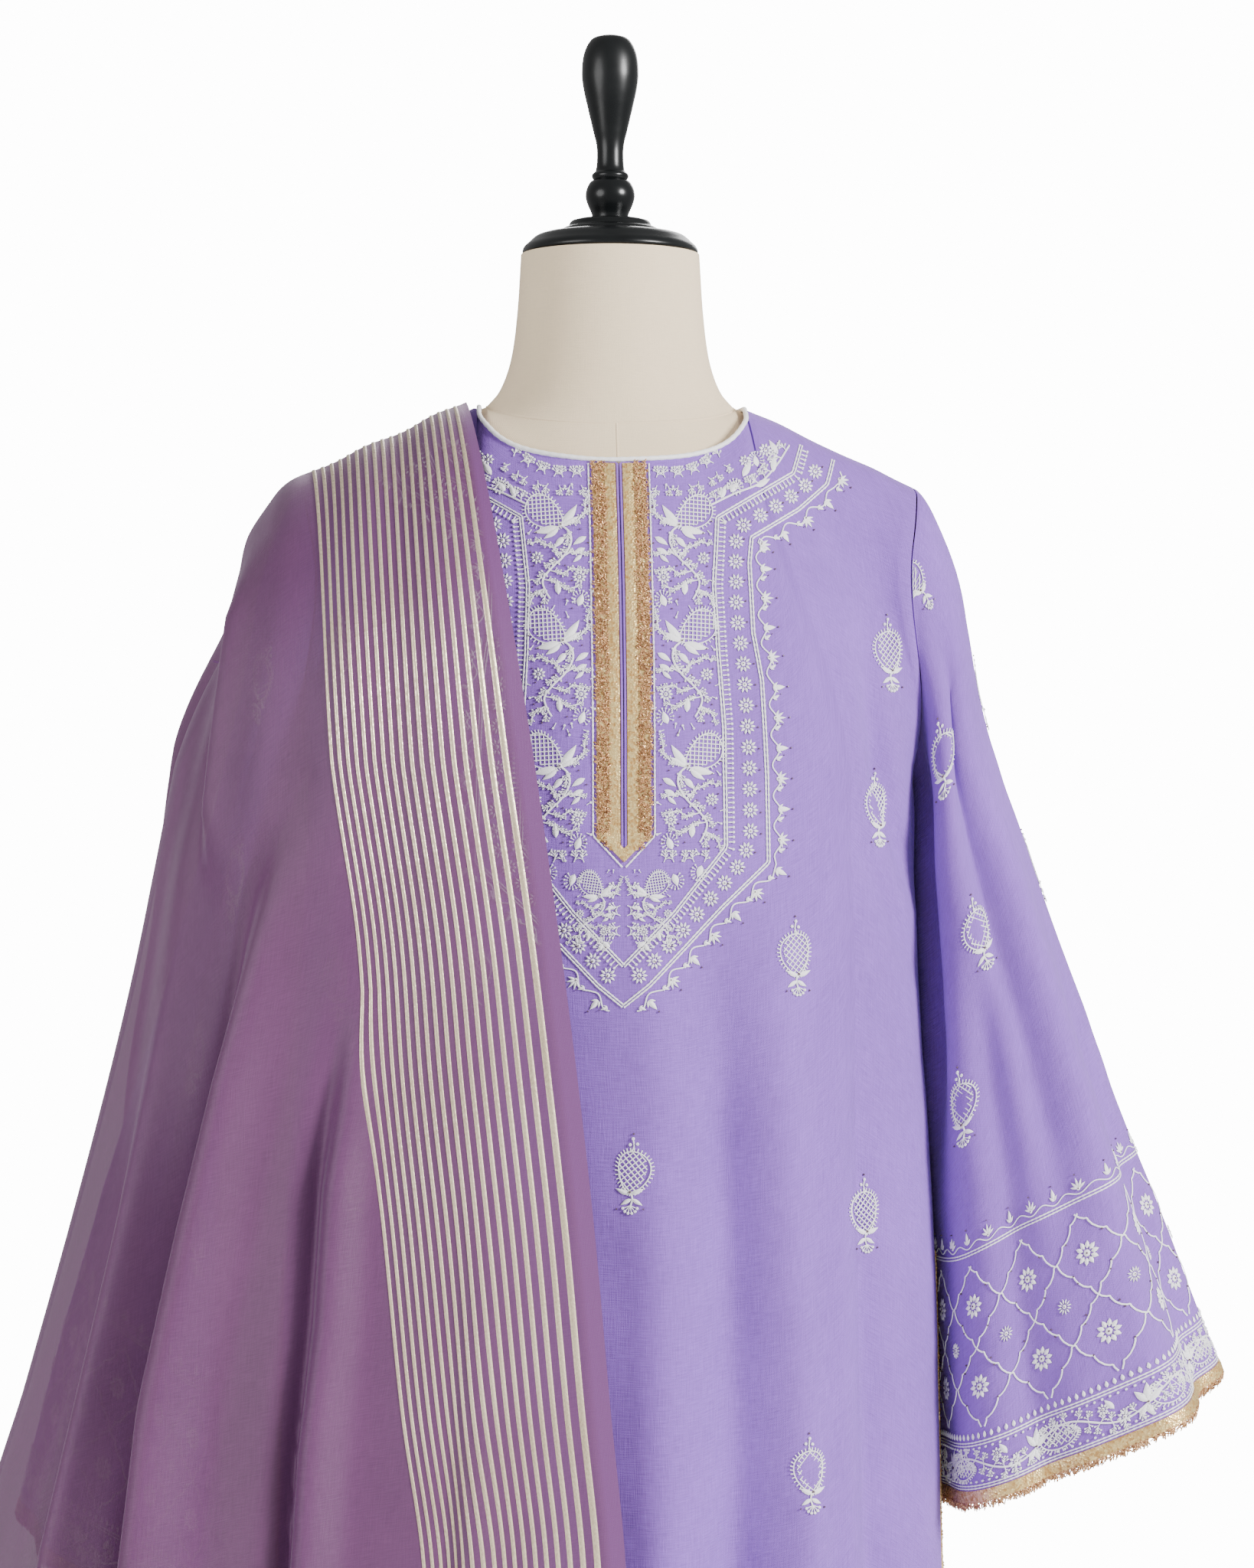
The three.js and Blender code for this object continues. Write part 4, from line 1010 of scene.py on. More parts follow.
def sleeve_grid(hand, columns, rows):
    """Rings from the armhole to the hem; folds run down it at shares of the way round."""
    around = np.linspace(0, 1, columns, endpoint=False)[None, :]
    share = (np.linspace(0, 1, rows + 1) ** 1.15)[:, None]
    grid = sleeve_surface(hand, around, share)
    total = np.zeros(grid.shape[:2])
    for height, place, width, start, end in SLEEVE_FOLDS[hand]:
        wander = place + 0.012 * np.sin(5 * share + 9 * place)
        away = (around - wander + 0.5) % 1 - 0.5
        there = smooth(share, start, start + 0.15) * (1 - smooth(share, end, end + 0.2))
        total += height * np.exp(-(away / (width / (0.6 + 0.4 * share))) ** 2) * there
    depth = FOLD_DEPTH if hand > 0 else COVERED_FOLD_DEPTH
    total = (depth * total + rumple(grid)) * smooth(share, 0.0, 0.08)
    return grid + grid_normals(grid, hand, True) * total[..., None]


def build_sleeves(thickness):
    for hand, word in HANDS:
        grid = sleeve_grid(hand, SLEEVE_COLUMNS, SLEEVE_ROWS)
        inner = grid - grid_normals(grid, hand, True) * thickness
        name = "bell_sleeve_" + word
        piece = make_shell(name, grid, inner, material("kurta_cotton"), wrapped=True)
        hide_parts("sleeve_" + word)
        SURFACES["sleeve_" + word] = (grid, None)


SURFACES = {}

# Folds of the dupatta: height, width, lap to the side, then rows of height, x and strength
DUPATTA_DRAPE = {
    -1: [
        (17, 17, 17, [(190, -330, 1), (450, -302, 1), (706, -284, 1), (801, -272, 1), (902, -250, 1),
                      (992, -230, 0.9), (1084, -212, 0.45), (1150, -200, 0)]),
        (11, 12, 11, [(190, -208, 1), (450, -200, 1), (680, -190, 1), (773, -184, 1), (850, -176, 0.8),
                    (928, -171, 0.8), (1044, -158, 0)]),
        (6, 12, 5, [(190, -120, 0.9), (706, -96, 0.5), (960, -92, 0)]),
        (10, 14, 8, [(190, -372, 1), (706, -340, 1), (902, -296, 0.8), (1100, -262, 0)]),
        (6, 10, 4, [(1102, -246, 0), (1150, -246, 1), (1194, -241, 1), (1264, -232, 1), (1319, -220, 0)]),
    ],
    1: [
        (12, 16, 12, [(220, -300, 1), (450, -290, 1), (706, -276, 1), (902, -246, 1), (1084, -206, 0.8),
                      (1180, -186, 0)]),
        (8, 13, 8, [(220, -176, 1), (706, -160, 0.9), (1000, -140, 0.5), (1180, -130, 0)]),
        (6, 12, 5, [(220, -92, 1), (706, -80, 0.7), (1000, -76, 0)]),
        (7, 14, 6, [(220, -366, 1), (706, -330, 1), (902, -290, 0.8), (1100, -262, 0)]),
    ],
}


def draped(grid, folds, side):
    """A fold's crest stands beside its trough (distance·exp(-distance²)) and leans over it."""
    rise = np.zeros(grid.shape[:2])
    lean = np.zeros(grid.shape[:2])
    for height, width, lap, rows in folds:
        z, x, strength = np.array(rows, float).T
        away = (grid[..., 0] - np.interp(grid[..., 2], z, x)) / width
        there = np.interp(grid[..., 2], z, strength)
        rise += height * 2.33 * away * np.exp(-away * away) * there
        lean -= lap * np.exp(-((away - 0.5) ** 2) * 1.6) * there
    grid = grid + grid_normals(grid, -side) * rise[..., None]
    grid[..., 0] += lean
    return grid


def build_dupatta():
    across = np.linspace(0, 1, DUPATTA_COLUMNS)
    for side, word in SIDES:
        plain, height = dupatta_grid(side, across, FALL_TOP_ROWS, FALL_ROWS)
        normals = grid_normals(plain, -side)
        normals[0, :, 1] = 0
        full = 0.25 if side < 0 else 1.25
        swell = mix(0.12, full, smooth(np.arange(len(plain)), 3, 36))[:, None]
        grid = plain + unit(normals) * (swell * height + 3)[..., None]
        grid = draped(grid, DUPATTA_DRAPE[side], side)
        edge = (np.minimum(across, 1 - across) * CLOTH_ACROSS)[None, :]
        falling = (np.arange(len(grid)) > FALL_TOP_ROWS)[:, None]
        hem = np.where(falling, grid[..., 2] - DUPATTA[side][0, 0], 999.0)
        shade = 1 - smooth(np.minimum(edge, hem), 5.5, 6.5)
        faces = grid_faces(*grid.shape[:2]).reshape(-1, 4)
        faces = faces if side > 0 else faces[:, ::-1]
        name = "dupatta_fall_" + word
        piece = make_piece(name, grid.reshape(-1, 3), faces, material("dupatta_organza"),
                           arc_map(grid).reshape(-1, 2), 60.0, shade.reshape(-1))
        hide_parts("dupatta_" + word)
        SURFACES["dupatta_" + word] = (grid, across)


def build_stripes(count):
    """Narrow metallic strips woven along the inner edge: ribbons that follow the cloth's threads."""
    for side, word in SIDES:
        grid, across = SURFACES["dupatta_" + word]
        normals = grid_normals(grid, -side)
        sheets = []
        for k in range(count):
            middle = FIRST_STRIPE + k * (BAND_PART - FIRST_STRIPE - LAST_STRIPE_GAP) / (count - 1)
            wanted = middle + np.array([-1, -0.6, 0.6, 1]) * STRIPE_HALF
            rise = np.array([0.05, 0.5, 0.5, 0.05])[None, :, None]
            out = unit(columns_at(normals, across, wanted))
            sheets.append(columns_at(grid, across, wanted) + out * rise)
        points, faces = gathered(sheets)
        faces = faces if side > 0 else faces[:, ::-1]
        flat = np.concatenate([arc_map(sheet).reshape(-1, 2) for sheet in sheets])
        piece = make_piece("dupatta_stripes_" + word, points, faces, material("stripe_gold"), flat, 70.0)


# Stitches: thread and beads laid out on a flat cloth as (across, up, height), then lifted onto a surface

class Stitches:
    """Small meshes with shared faces, kept as arrays (copies, points, 3) in mm of the flat cloth."""

    def __init__(self):
        self.parts = []

    def add(self, points, faces, kind="thread"):
        self.parts.append((kind, points, faces))
        return self

    def cord(self, paths, width=0.9, height=0.5, kind="thread"):
        """Threads along paths (copies, steps, 2 or 3): (width/2·cos, height·sin) over the cloth."""
        paths = np.asarray(paths, float)
        paths = paths if paths.ndim == 3 else paths[None]
        flat = paths[..., :2]
        along = unit(np.gradient(flat, axis=1))
        aside = np.stack([-along[..., 1], along[..., 0]], -1)
        size = flat.shape[:2]
        width, height = np.broadcast_to(width, size), np.broadcast_to(height, size)
        angle = np.linspace(np.pi, 0, 4)
        spread = aside[:, :, None] * (width[..., None] / 2 * np.cos(angle))[..., None]
        rise = height[..., None] * np.sin(angle)
        if paths.shape[-1] == 3:
            rise = rise + paths[..., 2:]
        points = np.concatenate([flat[:, :, None] + spread, rise[..., None]], -1)
        return self.add(points.reshape(size[0], -1, 3), grid_faces(size[1], 4).reshape(-1, 4), kind)

    def chain(self, path, width=1.3, height=0.6, pitch=3.3):
        """A row of chain stitches: a cord whose width swells once in each stitch."""
        path = resample(path, pitch / 3)
        swell = 0.78 + 0.22 * np.cos(np.arange(len(path)) * 2 * np.pi / 3)
        return self.cord(path, width * swell, height * swell)

    def leaves(self, rows, fine=5):
        """Satin-stitched leaves, rows of x, y, angle, length, width, bend: low mounds."""
        x, y, angle, length, width, bend = np.array(rows, float).T[:, :, None, None]
        t = np.linspace(0, 1, fine + 1)[None, :, None]
        c = np.linspace(-1, 1, 4)[None, None, :]
        shape = np.sin(np.pi * t**0.8) * 0.96 + 0.04
        ahead = length * t + 0 * c
        aside = c * width / 2 * shape + bend * length * t * (1 - t)
        rise = 0.9 * np.sqrt(1 - c * c) * np.sqrt(shape) + 0 * length
        points = placed(x, y, angle, ahead, aside, rise)
        faces = grid_faces(fine + 1, 4).reshape(-1, 4)[:, ::-1]
        return self.add(points.reshape(len(rows), -1, 3), faces)

    def knots(self, places, radius=0.95, height=0.85, kind="thread"):
        """French knots or beads: six-sided domes closed by two faces."""
        places = np.asarray(places, float).reshape(-1, 2)
        angle = np.arange(6) * np.pi / 3
        rings = [(1.0, 0.0), (0.66, 1.0)]
        dome = np.concatenate([np.stack([radius * r * np.cos(angle), radius * r * np.sin(angle),
                                         0 * angle + height * h], -1) for r, h in rings])
        points = dome[None] + np.concatenate([places, 0 * places[:, :1]], -1)[:, None]
        faces = np.concatenate([grid_faces(2, 6, True).reshape(-1, 4), [[6, 7, 8, 9], [6, 9, 10, 11]]])
        return self.add(points, faces, kind)

    def stalks(self, rows, knot=0.95, width=0.6):
        """Straight stitches with a knot at the far end, rows of x, y, angle, length."""
        x, y, angle, length = np.array(rows, float).T
        turn = np.radians(angle)
        far = np.stack([x + length * np.cos(turn), y + length * np.sin(turn)], -1)
        self.cord(np.stack([np.stack([x, y], -1), far], 1), width, 0.4)
        return self.knots(far, knot)

    def ring_of_petals(self, x, y, radius, count, width, eye=0.9):
        """Petals round a dark bead."""
        angle = np.arange(count) * 360 / count
        turn = np.radians(angle)
        start = radius * 0.36
        rows = np.stack([x + start * np.cos(turn), y + start * np.sin(turn), angle,
                         0 * angle + radius * 0.64, 0 * angle + width, 0 * angle], -1)
        self.leaves(rows, 3)
        self.knots([(x, y)], radius * 0.3, 0.6)
        return self.knots([(x, y)], eye * 0.62, 1.0, "bead")

    def net_leaf(self, x, y, angle, length, width, pitch=2.7):
        """A leaf worked as an open net within a comb of short stitches."""
        turn = np.radians(angle)
        ahead, aside = np.array([np.cos(turn), np.sin(turn)]), np.array([-np.sin(turn), np.cos(turn)])
        t = np.linspace(0, 2 * np.pi, 37)[:-1]
        s, c = -length / 2 * np.cos(t), width / 2 * np.sin(t) * (1 - 0.28 * np.cos(t - 0.6))
        middle = np.array([x, y]) + ahead * length / 2
        edge = middle + s[:, None] * ahead + c[:, None] * aside
        out = unit(edge - middle)
        self.cord(np.concatenate([edge, edge[:1]]), 0.8, 0.5)
        self.cord(np.stack([edge, edge + out * 2.3], 1), 0.75, 0.45)
        lines = []
        for slant in (0.8, -0.8):
            way = np.array([np.cos(slant), np.sin(slant)])
            side = np.array([-way[1], way[0]])
            for k in np.arange(-length, length, pitch):
                reach = np.linspace(-length, length, 61)[:, None] * way + k * side
                limit = np.clip(-reach[:, 0] / (length / 2), -1, 1)
                wide = width / 2 * np.sqrt(1 - limit**2) * (1 - 0.28 * limit * np.cos(0.6))
                inside = (np.abs(reach[:, 0]) < length / 2) & (np.abs(reach[:, 1]) < wide * 0.93)
                if inside.sum() > 2:
                    ends = reach[np.flatnonzero(inside)[[0, -1]]]
                    lines.append(middle + ends[:, :1] * ahead + ends[:, 1:] * aside)
        return self.cord(np.array(lines), 0.72, 0.4)

    def stamp(self, motif, places):
        """Copies of a motif, rows of x, y, angle, scale, mirror (1 or -1)."""
        x, y, angle, scale, mirror = np.array(places, float).reshape(-1, 5).T[:, :, None, None]
        for kind, points, faces in motif.parts:
            a, b = points[None, ..., 0] * mirror * scale, points[None, ..., 1] * scale
            moved = placed(x, y, angle, a, b, points[None, ..., 2])
            for sign in (1, -1):
                chosen = moved[mirror[:, 0, 0] == sign]
                if len(chosen):
                    self.add(chosen.reshape(-1, points.shape[1], 3), faces[:, ::sign], kind)
        return self

    def joined(self, kind):
        """All the copies of one kind as one array of flat points and one of faces."""
        points, faces, count = [], [], 0
        for found, block, shared_faces in self.parts:
            if found != kind:
                continue
            copies, size = block.shape[:2]
            starts = count + size * np.arange(copies)
            faces.append((shared_faces[None] + starts[:, None, None]).reshape(-1, 4))
            points.append(block.reshape(-1, 3))
            count += copies * size
        return (np.concatenate(points), np.concatenate(faces)) if points else (None, None)


def placed(x, y, angle, ahead, aside, rise):
    """Points ahead of a place and beside it, turned by an angle in degrees."""
    turn = np.radians(angle)
    return np.stack(np.broadcast_arrays(
        x + ahead * np.cos(turn) - aside * np.sin(turn),
        y + ahead * np.sin(turn) + aside * np.cos(turn), rise), -1)


def resample(path, step):
    """Points every step along a line of corners."""
    path = np.asarray(path, float)
    along = length_along(path)
    wanted = np.linspace(0, along[-1], max(int(round(along[-1] / step)), 1) + 1)
    return np.stack([np.interp(wanted, along, path[:, k]) for k in range(2)], -1)


def curved(path, step=1.5):
    """A smooth line through a few points."""
    path = np.asarray(path, float)
    along = length_along(path)
    wanted = np.linspace(0, along[-1], max(int(along[-1] / step), 2) + 1)
    return look(np.column_stack([along, path]), wanted).T


def beside(path, distance):
    along = unit(np.gradient(path, axis=0))
    return path + np.stack([-along[:, 1], along[:, 0]], -1) * distance


def places_along(path, pitch, turn=0.0, scale=1.0, start=0.5, alternate=True):
    """Rows for stamp: every pitch along a path, turned to it, every other one mirrored if asked."""
    fine = resample(path, pitch / 8)[int(4 * start)::8]
    heading = unit(np.gradient(fine, axis=0))
    angle = np.degrees(np.arctan2(heading[:, 1], heading[:, 0])) + turn
    mirror = 1 - 2 * (np.arange(len(fine)) % 2) * alternate
    return np.column_stack([fine, angle, 0 * angle + scale, mirror])


def height_net(grid, side):
    """A panel's points and normals over a net of x and z, 2 mm apart: rows up, columns across."""
    normals = grid_normals(grid, side)
    z, x = np.arange(316.0, 1420.0, NET_STEP), np.arange(-232.0, 233.0, NET_STEP)
    values = np.concatenate([grid[..., :2], normals], -1)
    levels = np.empty((len(z), grid.shape[1], 5))
    for column in range(grid.shape[1]):
        for k in range(5):
            levels[:, column, k] = np.interp(z, grid[::-1, column, 2], values[::-1, column, k])
    net = np.empty((len(z), len(x), 6))
    for row in range(len(z)):
        net[row, :, 0] = x
        net[row, :, 2] = z[row]
        for k in range(4):
            net[row, :, (1, 3, 4, 5)[k]] = np.interp(x, levels[row, :, 0], levels[row, :, k + 1])
    return net, (x[0], z[0]), (NET_STEP, NET_STEP), False


def hem_net(grid, side):
    """The lowest rows of a panel by distance along the hem and up from it, and the hem's length."""
    values = np.concatenate([grid, grid_normals(grid, side)], -1)[::-1][:16]
    along = np.linalg.norm(np.diff(values[..., :3], axis=1), axis=-1)
    along = np.cumsum(np.concatenate([np.zeros((len(values), 1)), along], 1), 1)
    share = np.linspace(0, 1, 241)
    net = np.empty((len(values), len(share), 6))
    for row in range(len(values)):
        for k in range(6):
            net[row, :, k] = np.interp(share * along[row, -1], along[row], values[row, :, k])
    rise = net[1, 120, 2] - net[0, 120, 2]
    return (net, (0.0, 0.0), (along[0, -1] / 240, rise), False), along[0, -1]


def sleeve_net(grid, hand):
    """A sleeve's points and normals by distance round and distance up from the hem."""
    normals = grid_normals(grid, hand, True)
    up = grid[::-1]
    length = np.cumsum(np.linalg.norm(np.diff(up, axis=0, prepend=up[:1]), axis=-1), 0)
    rows = np.arange(0.0, 620.0, NET_STEP)
    values = np.concatenate([up, normals[::-1]], -1)
    net = np.empty((len(rows), grid.shape[1], 6))
    for column in range(grid.shape[1]):
        for k in range(6):
            net[:, column, k] = np.interp(rows, length[:, column], values[:, column, k])
    return net, (0.0, 0.0), (CUFF_ROUND / grid.shape[1], NET_STEP), True


def lifted(surface, flat):
    """Flat points set on a net by bilinear interpolation, raised along its normals."""
    net, origin, step, wrapped = surface
    column, row = (flat[:, 0] - origin[0]) / step[0], (flat[:, 1] - origin[1]) / step[1]
    if not wrapped:
        column = np.clip(column, 0, net.shape[1] - 1.001)
    row = np.clip(row, 0, net.shape[0] - 1.001)
    i, j = np.floor(row).astype(int), np.floor(column).astype(int)
    v, u = (row - i)[:, None], (column - j)[:, None]
    left, right = j % net.shape[1], (j + 1) % net.shape[1]
    found = mix(mix(net[i, left], net[i, right], u), mix(net[i + 1, left], net[i + 1, right], u), v)
    under = np.minimum(flat[:, 1] - origin[1], 0)[:, None] * np.array([0, 0, 1.0])
    return found[:, :3] + under + unit(found[:, 3:]) * flat[:, 2:], unit(found[:, 3:])


def sew(name, stitches, surface, finishes, lift=0.0):
    """Puts each kind of stitch on a surface as one piece, its faces turned outwards."""
    for kind, finish, stands_for in finishes:
        flat, faces = stitches.joined(kind)
        if flat is None:
            continue
        points, normals = lifted(surface, flat + np.array([0, 0, lift]))
        a, b, c, d = (points[faces[:, k]] for k in range(4))
        crossed = np.cross(c - a, d - b)
        if (crossed * normals[faces[:, 0]]).sum() < 0:
            faces = faces[:, ::-1]
        piece = make_piece(name + "_" + kind, points, faces, material(finish), flat[:, :2], 60.0)
        for node_name in stands_for:
            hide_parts(node_name)


SEWN = (("thread", "white_thread", ()), ("bead", "dark_bead", ()))
OVER_FACES = 0.4  # keeps low stitches clear of the flat faces between a panel's points


# Motifs

def sprig():
    """A short stem with knots and a pair of small leaves."""
    made = Stitches().cord(curved([(0, 0), (1.2, 3), (1, 6.5)]), 0.7, 0.45)
    made.stalks([(0.6, 2, 20, 3.4), (1.1, 4, 150, 3.2), (1, 6.5, 90, 1.8), (1, 6, 45, 3),
                 (1, 5.2, 128, 3.4)], 0.9)
    return made.leaves([(0.8, 3, 55, 4.2, 1.7, 0.1)], 4)


def fan():
    """A satin leaf within a ring of short stitches that end in knots."""
    made = Stitches().leaves([(0, 0, 90, 8.5, 4.6, 0.1)])
    angle = np.linspace(-38, 218, 11)
    turn = np.radians(angle)
    rows = np.column_stack([3 * np.cos(turn), 4.6 + 3.4 * np.sin(turn), angle, 0 * angle + 2.3])
    return made.stalks(rows, 0.7, 0.5)


def spray():
    """Five fingers round a dark bead, on a short stem."""
    made = Stitches().leaves([(0, 1, 90 + k * 33, 6.6 - abs(k) * 0.7, 1.7, 0) for k in (-2, -1, 0, 1, 2)], 3)
    made.knots([(0, 1)], 1.3, 0.6).knots([(0, 1)], 0.6, 1.0, "bead")
    return made.knots([(0, 9.6)], 0.6, 0.8, "bead")


def bud():
    """A plump satin bud between two side leaves."""
    made = Stitches().leaves([(0, 0.5, 90, 7.4, 3.2, 0), (0, 0.5, 135, 4.4, 1.6, 0.1),
                              (0, 0.5, 45, 4.4, 1.6, -0.1)], 4)
    return made.knots([(0, 9.6)], 0.6, 0.8, "bead")


def leaf_cluster():
    """The repeat of the yoke: a net leaf with satin leaves at its foot and a winding stem below."""
    made = Stitches().net_leaf(-2, -9, 42, 27, 19)
    made.leaves([(-2, -9, 128, 17, 5.2, 0.15), (-2, -9.5, 152, 13, 4, 0.1), (0, -10, -14, 16, 5, -0.12),
                 (-0.5, -11, -36, 12, 4, -0.1), (-4, -17, -48, 9.5, 4, 0.1), (-18, -17, -32, 10, 3.8, 0.1),
                 (-17, -24.5, -28, 9.5, 3.4, 0.1), (0.5, -55, 86, 10, 4.2, 0), (-15, -29, -40, 7.5, 2.8, 0)])
    made.knots([(-2, -9)], 1.5, 1.0).knots([(-2, -9)], 0.9, 1.4, "bead")
    stem = curved([(-2, -9), (-7.3, -14), (-8, -21), (-3, -30), (6, -39), (10.5, -46), (8.7, -53),
                   (5.8, -58)])
    made.cord(stem, 1.3, 0.7)
    for branch in ([(-3, -30), (-9, -27), (-17, -29)], [(-3, -30), (4, -24), (13, -20), (18, -22)],
                   [(6, -39), (-2, -41), (-9, -38), (-15, -40)], [(10, -45), (2, -47), (-4, -51), (-12, -50)],
                   [(-2, -9), (-11, -7), (-17, -1), (-18, 8)], [(9, -51), (15, -54), (19, -60)]):
        made.cord(curved(branch), 0.8, 0.5)
        made.stamp(sprig(), places_along(curved(branch), 4.6, -90, 0.62, 1.2))
    made.stamp(sprig(), places_along(stem, 5.6, -60, 0.8, 1.6))
    made.ring_of_petals(13.8, -30.6, 4.4, 9, 1.7)
    made.ring_of_petals(-13, -43.5, 4.6, 10, 1.7)
    made.stamp(fan(), [(-12, -62.5, 20, 1, 1)])
    made.stalks([(-17, 14, 200, 3), (-10, 15, 80, 3), (-4, 14, 110, 3), (17, -12, -50, 3.4),
                 (19, -38, 20, 3), (-19, -34, 150, 3), (17, -45, -20, 3), (-19, -52, 200, 3),
                 (3, -62, -60, 4), (-4, -66, 250, 4)], 0.9)
    dark = [(-14, -12), (14, -14), (18, -27), (-19, -21), (4, -31), (-4, -36), (16, -36), (-8, -46),
            (17, -50), (-18, -58), (-4, -58), (12, -62), (-8, 12), (20, -6), (-19, 3)]
    return made.knots(dark, 0.62, 0.7, "bead")


def buta():
    """The spot motif: a net leaf on a spray, with a knobbed tip."""
    made = Stitches().net_leaf(0, -9, 84, 24, 19)
    made.cord(curved([(0, -18), (1.5, -13), (0, -9)]), 1.1, 0.6)
    made.cord(curved([(1, 15), (2.6, 18), (2, 22)]), 0.9, 0.5).knots([(2, 22.5), (0.2, 19), (4.6, 19.4)], 1.1)
    made.knots([(2.4, 25.4)], 0.7, 0.8, "bead").knots([(0, -9)], 0.9, 1.3, "bead")
    made.leaves([(0, -10, 160, 9, 3, 0.15), (0, -10, 20, 9, 3, -0.15), (1, -13, -30, 7.5, 2.6, 0),
                 (1, -13, 208, 7.5, 2.6, 0)])
    made.stalks([(0, -17, angle, 4.6) for angle in (200, 228, 256, 284, 312, 340)], 1.0)
    return made.knots([(-8, -19), (8, -19)], 0.62, 0.7, "bead")


# The yoke, whose lines are placed on the right half and mirrored

YOKE_INNER = [(116, 1374.5), (109, 1356), (59, 1326), (55.5, 1284), (57, 1243), (59.8, 1200), (60.5, 1128.6),
              (30, 1090), (0, 1058.7)]
YOKE_OUTER = [(136.5, 1366), (131, 1350), (111, 1333), (79.5, 1314), (77.5, 1298), (78.5, 1256), (83, 1228),
              (85.5, 1173), (86.5, 1119.6), (59, 1093.5), (38.5, 1071.7), (15, 1047), (0, 1034.8)]
BUTAS_FRONT = [
    (105, 1062), (-90, 1052), (-168, 1045), (4, 934), (150, 905), (-158, 926), (113, 755), (-90, 755),
    (158, 1150), (-158, 1150), (168, 1244), (-168, 1244), (8, 640), (160, 620), (-160, 620), (105, 500),
    (-92, 500), (6, 440), (165, 452), (-165, 452),
]
BUTAS_BACK = [
    (0, 1240), (115, 1290), (-115, 1290), (70, 1110), (-70, 1110), (150, 1140), (-150, 1140), (0, 960),
    (140, 940), (-140, 940), (75, 790), (-75, 790), (0, 640), (150, 630), (-150, 630), (80, 490), (-80, 490),
    (0, 440), (160, 450), (-160, 450),
]


def yoke_half():
    """Borders, comb, rosettes and outer vine of one half, and the leaf clusters within."""
    made = Stitches()
    inner, outer = resample(YOKE_INNER, 2), resample(YOKE_OUTER, 2)
    for line, gap in ((inner, 0.8), (inner, -0.8), (outer, 0.8), (outer, -0.8)):
        made.chain(beside(line, gap), 1.25)
    comb = resample(YOKE_INNER, 2.9)[1:-1]
    out = beside(comb, 4.8) - beside(comb, 1.6)
    root = beside(comb, 1.6)
    made.cord(np.stack([root, root + out], 1), 0.8, 0.45).knots(root + out, 0.9)
    middle = (resample(YOKE_INNER, 1.0), resample(YOKE_OUTER, 1.0))
    share = np.linspace(0, 1, 32)[1:-1]
    low, high = (np.stack([np.interp(share, np.linspace(0, 1, len(line)), line[:, k]) for k in (0, 1)], -1)
                 for line in middle)
    for x, y in mix(low, high, 0.58):
        made.ring_of_petals(x, y, 5.0, 10, 1.6)
    made.knots(mix(low, high, 0.83) + np.array([0, 5.5]), 0.6, 0.7, "bead")
    vine = beside(resample(YOKE_OUTER, 1.5)[4:-3], 6)
    wave = 2.4 * np.sin(np.arange(len(vine)) * 2 * np.pi / 12)
    made.cord(beside(vine, wave[:, None]), 0.9, 0.5)
    spots = places_along(vine, 18, 0, 1, 0.5, False)
    made.stamp(spray(), spots[::2]).stamp(bud(), spots[1::2])
    made.stamp(bud(), places_along(vine, 18, 28, 0.6, 1.4, False))
    made.stamp(leaf_cluster(), [(37, 1329, 0, 0.92, 1), (37, 1259, 0, 0.92, 1), (39.5, 1185, 0, 0.92, 1)])
    made.stamp(leaf_cluster(), [(14, 1106, 12, 0.6, 1)])
    made.stamp(fan(), [(68, 1342, -40, 0.9, 1), (86, 1359, 10, 0.9, 1), (8, 1070, -60, 0.7, 1)])
    neckline = curved([(21, 1350), (38, 1350.5), (53, 1356), (65, 1366)])
    made.stamp(sprig(), places_along(neckline, 5.5, 0, 0.8, 0.6))
    made.stamp(sprig(), places_along(beside(neckline, -5), 6.5, 180, 0.7, 0.6))
    made.stamp(sprig(), places_along([(22, 1120), (52, 1120)], 6, 0, 0.8, 0.6))
    made.stamp(sprig(), places_along([(2, 1108), (2, 1072)], 6, 0, 0.8, 0.6))
    made.stamp(fan(), [(29, 1113, 200, 0.9, 1), (46, 1118, 160, 0.9, 1)])
    made.leaves([(76, 1352, 60, 11, 4.2, 0), (84, 1346, 30, 11, 4, 0), (96, 1356, 80, 11, 4, 0.1),
                 (100, 1368, 120, 10, 4, 0), (62, 1338, 70, 9, 3.6, 0)])
    vine = curved([(56, 1334), (70, 1341), (86, 1348), (98, 1360), (108, 1374)])
    made.cord(vine, 1.2, 0.6).stamp(sprig(), places_along(vine, 6, 0, 0.8, 1))
    made.ring_of_petals(92, 1370, 4.4, 9, 1.7).ring_of_petals(78, 1362, 3.8, 8, 1.6)
    return made


def yoke():
    """Both halves, and the chain lines beside the placket."""
    half = yoke_half()
    made = Stitches().stamp(half, [(0, 0, 0, 1, 1), (0, 0, 0, 1, -1)])
    for sign in (-1, 1):
        line = [(sign * 18.2, 1358.5), (sign * 18.2, 1135.5), (sign * 1, 1117)]
        made.chain(resample(line, 2), 1.3)
    return made


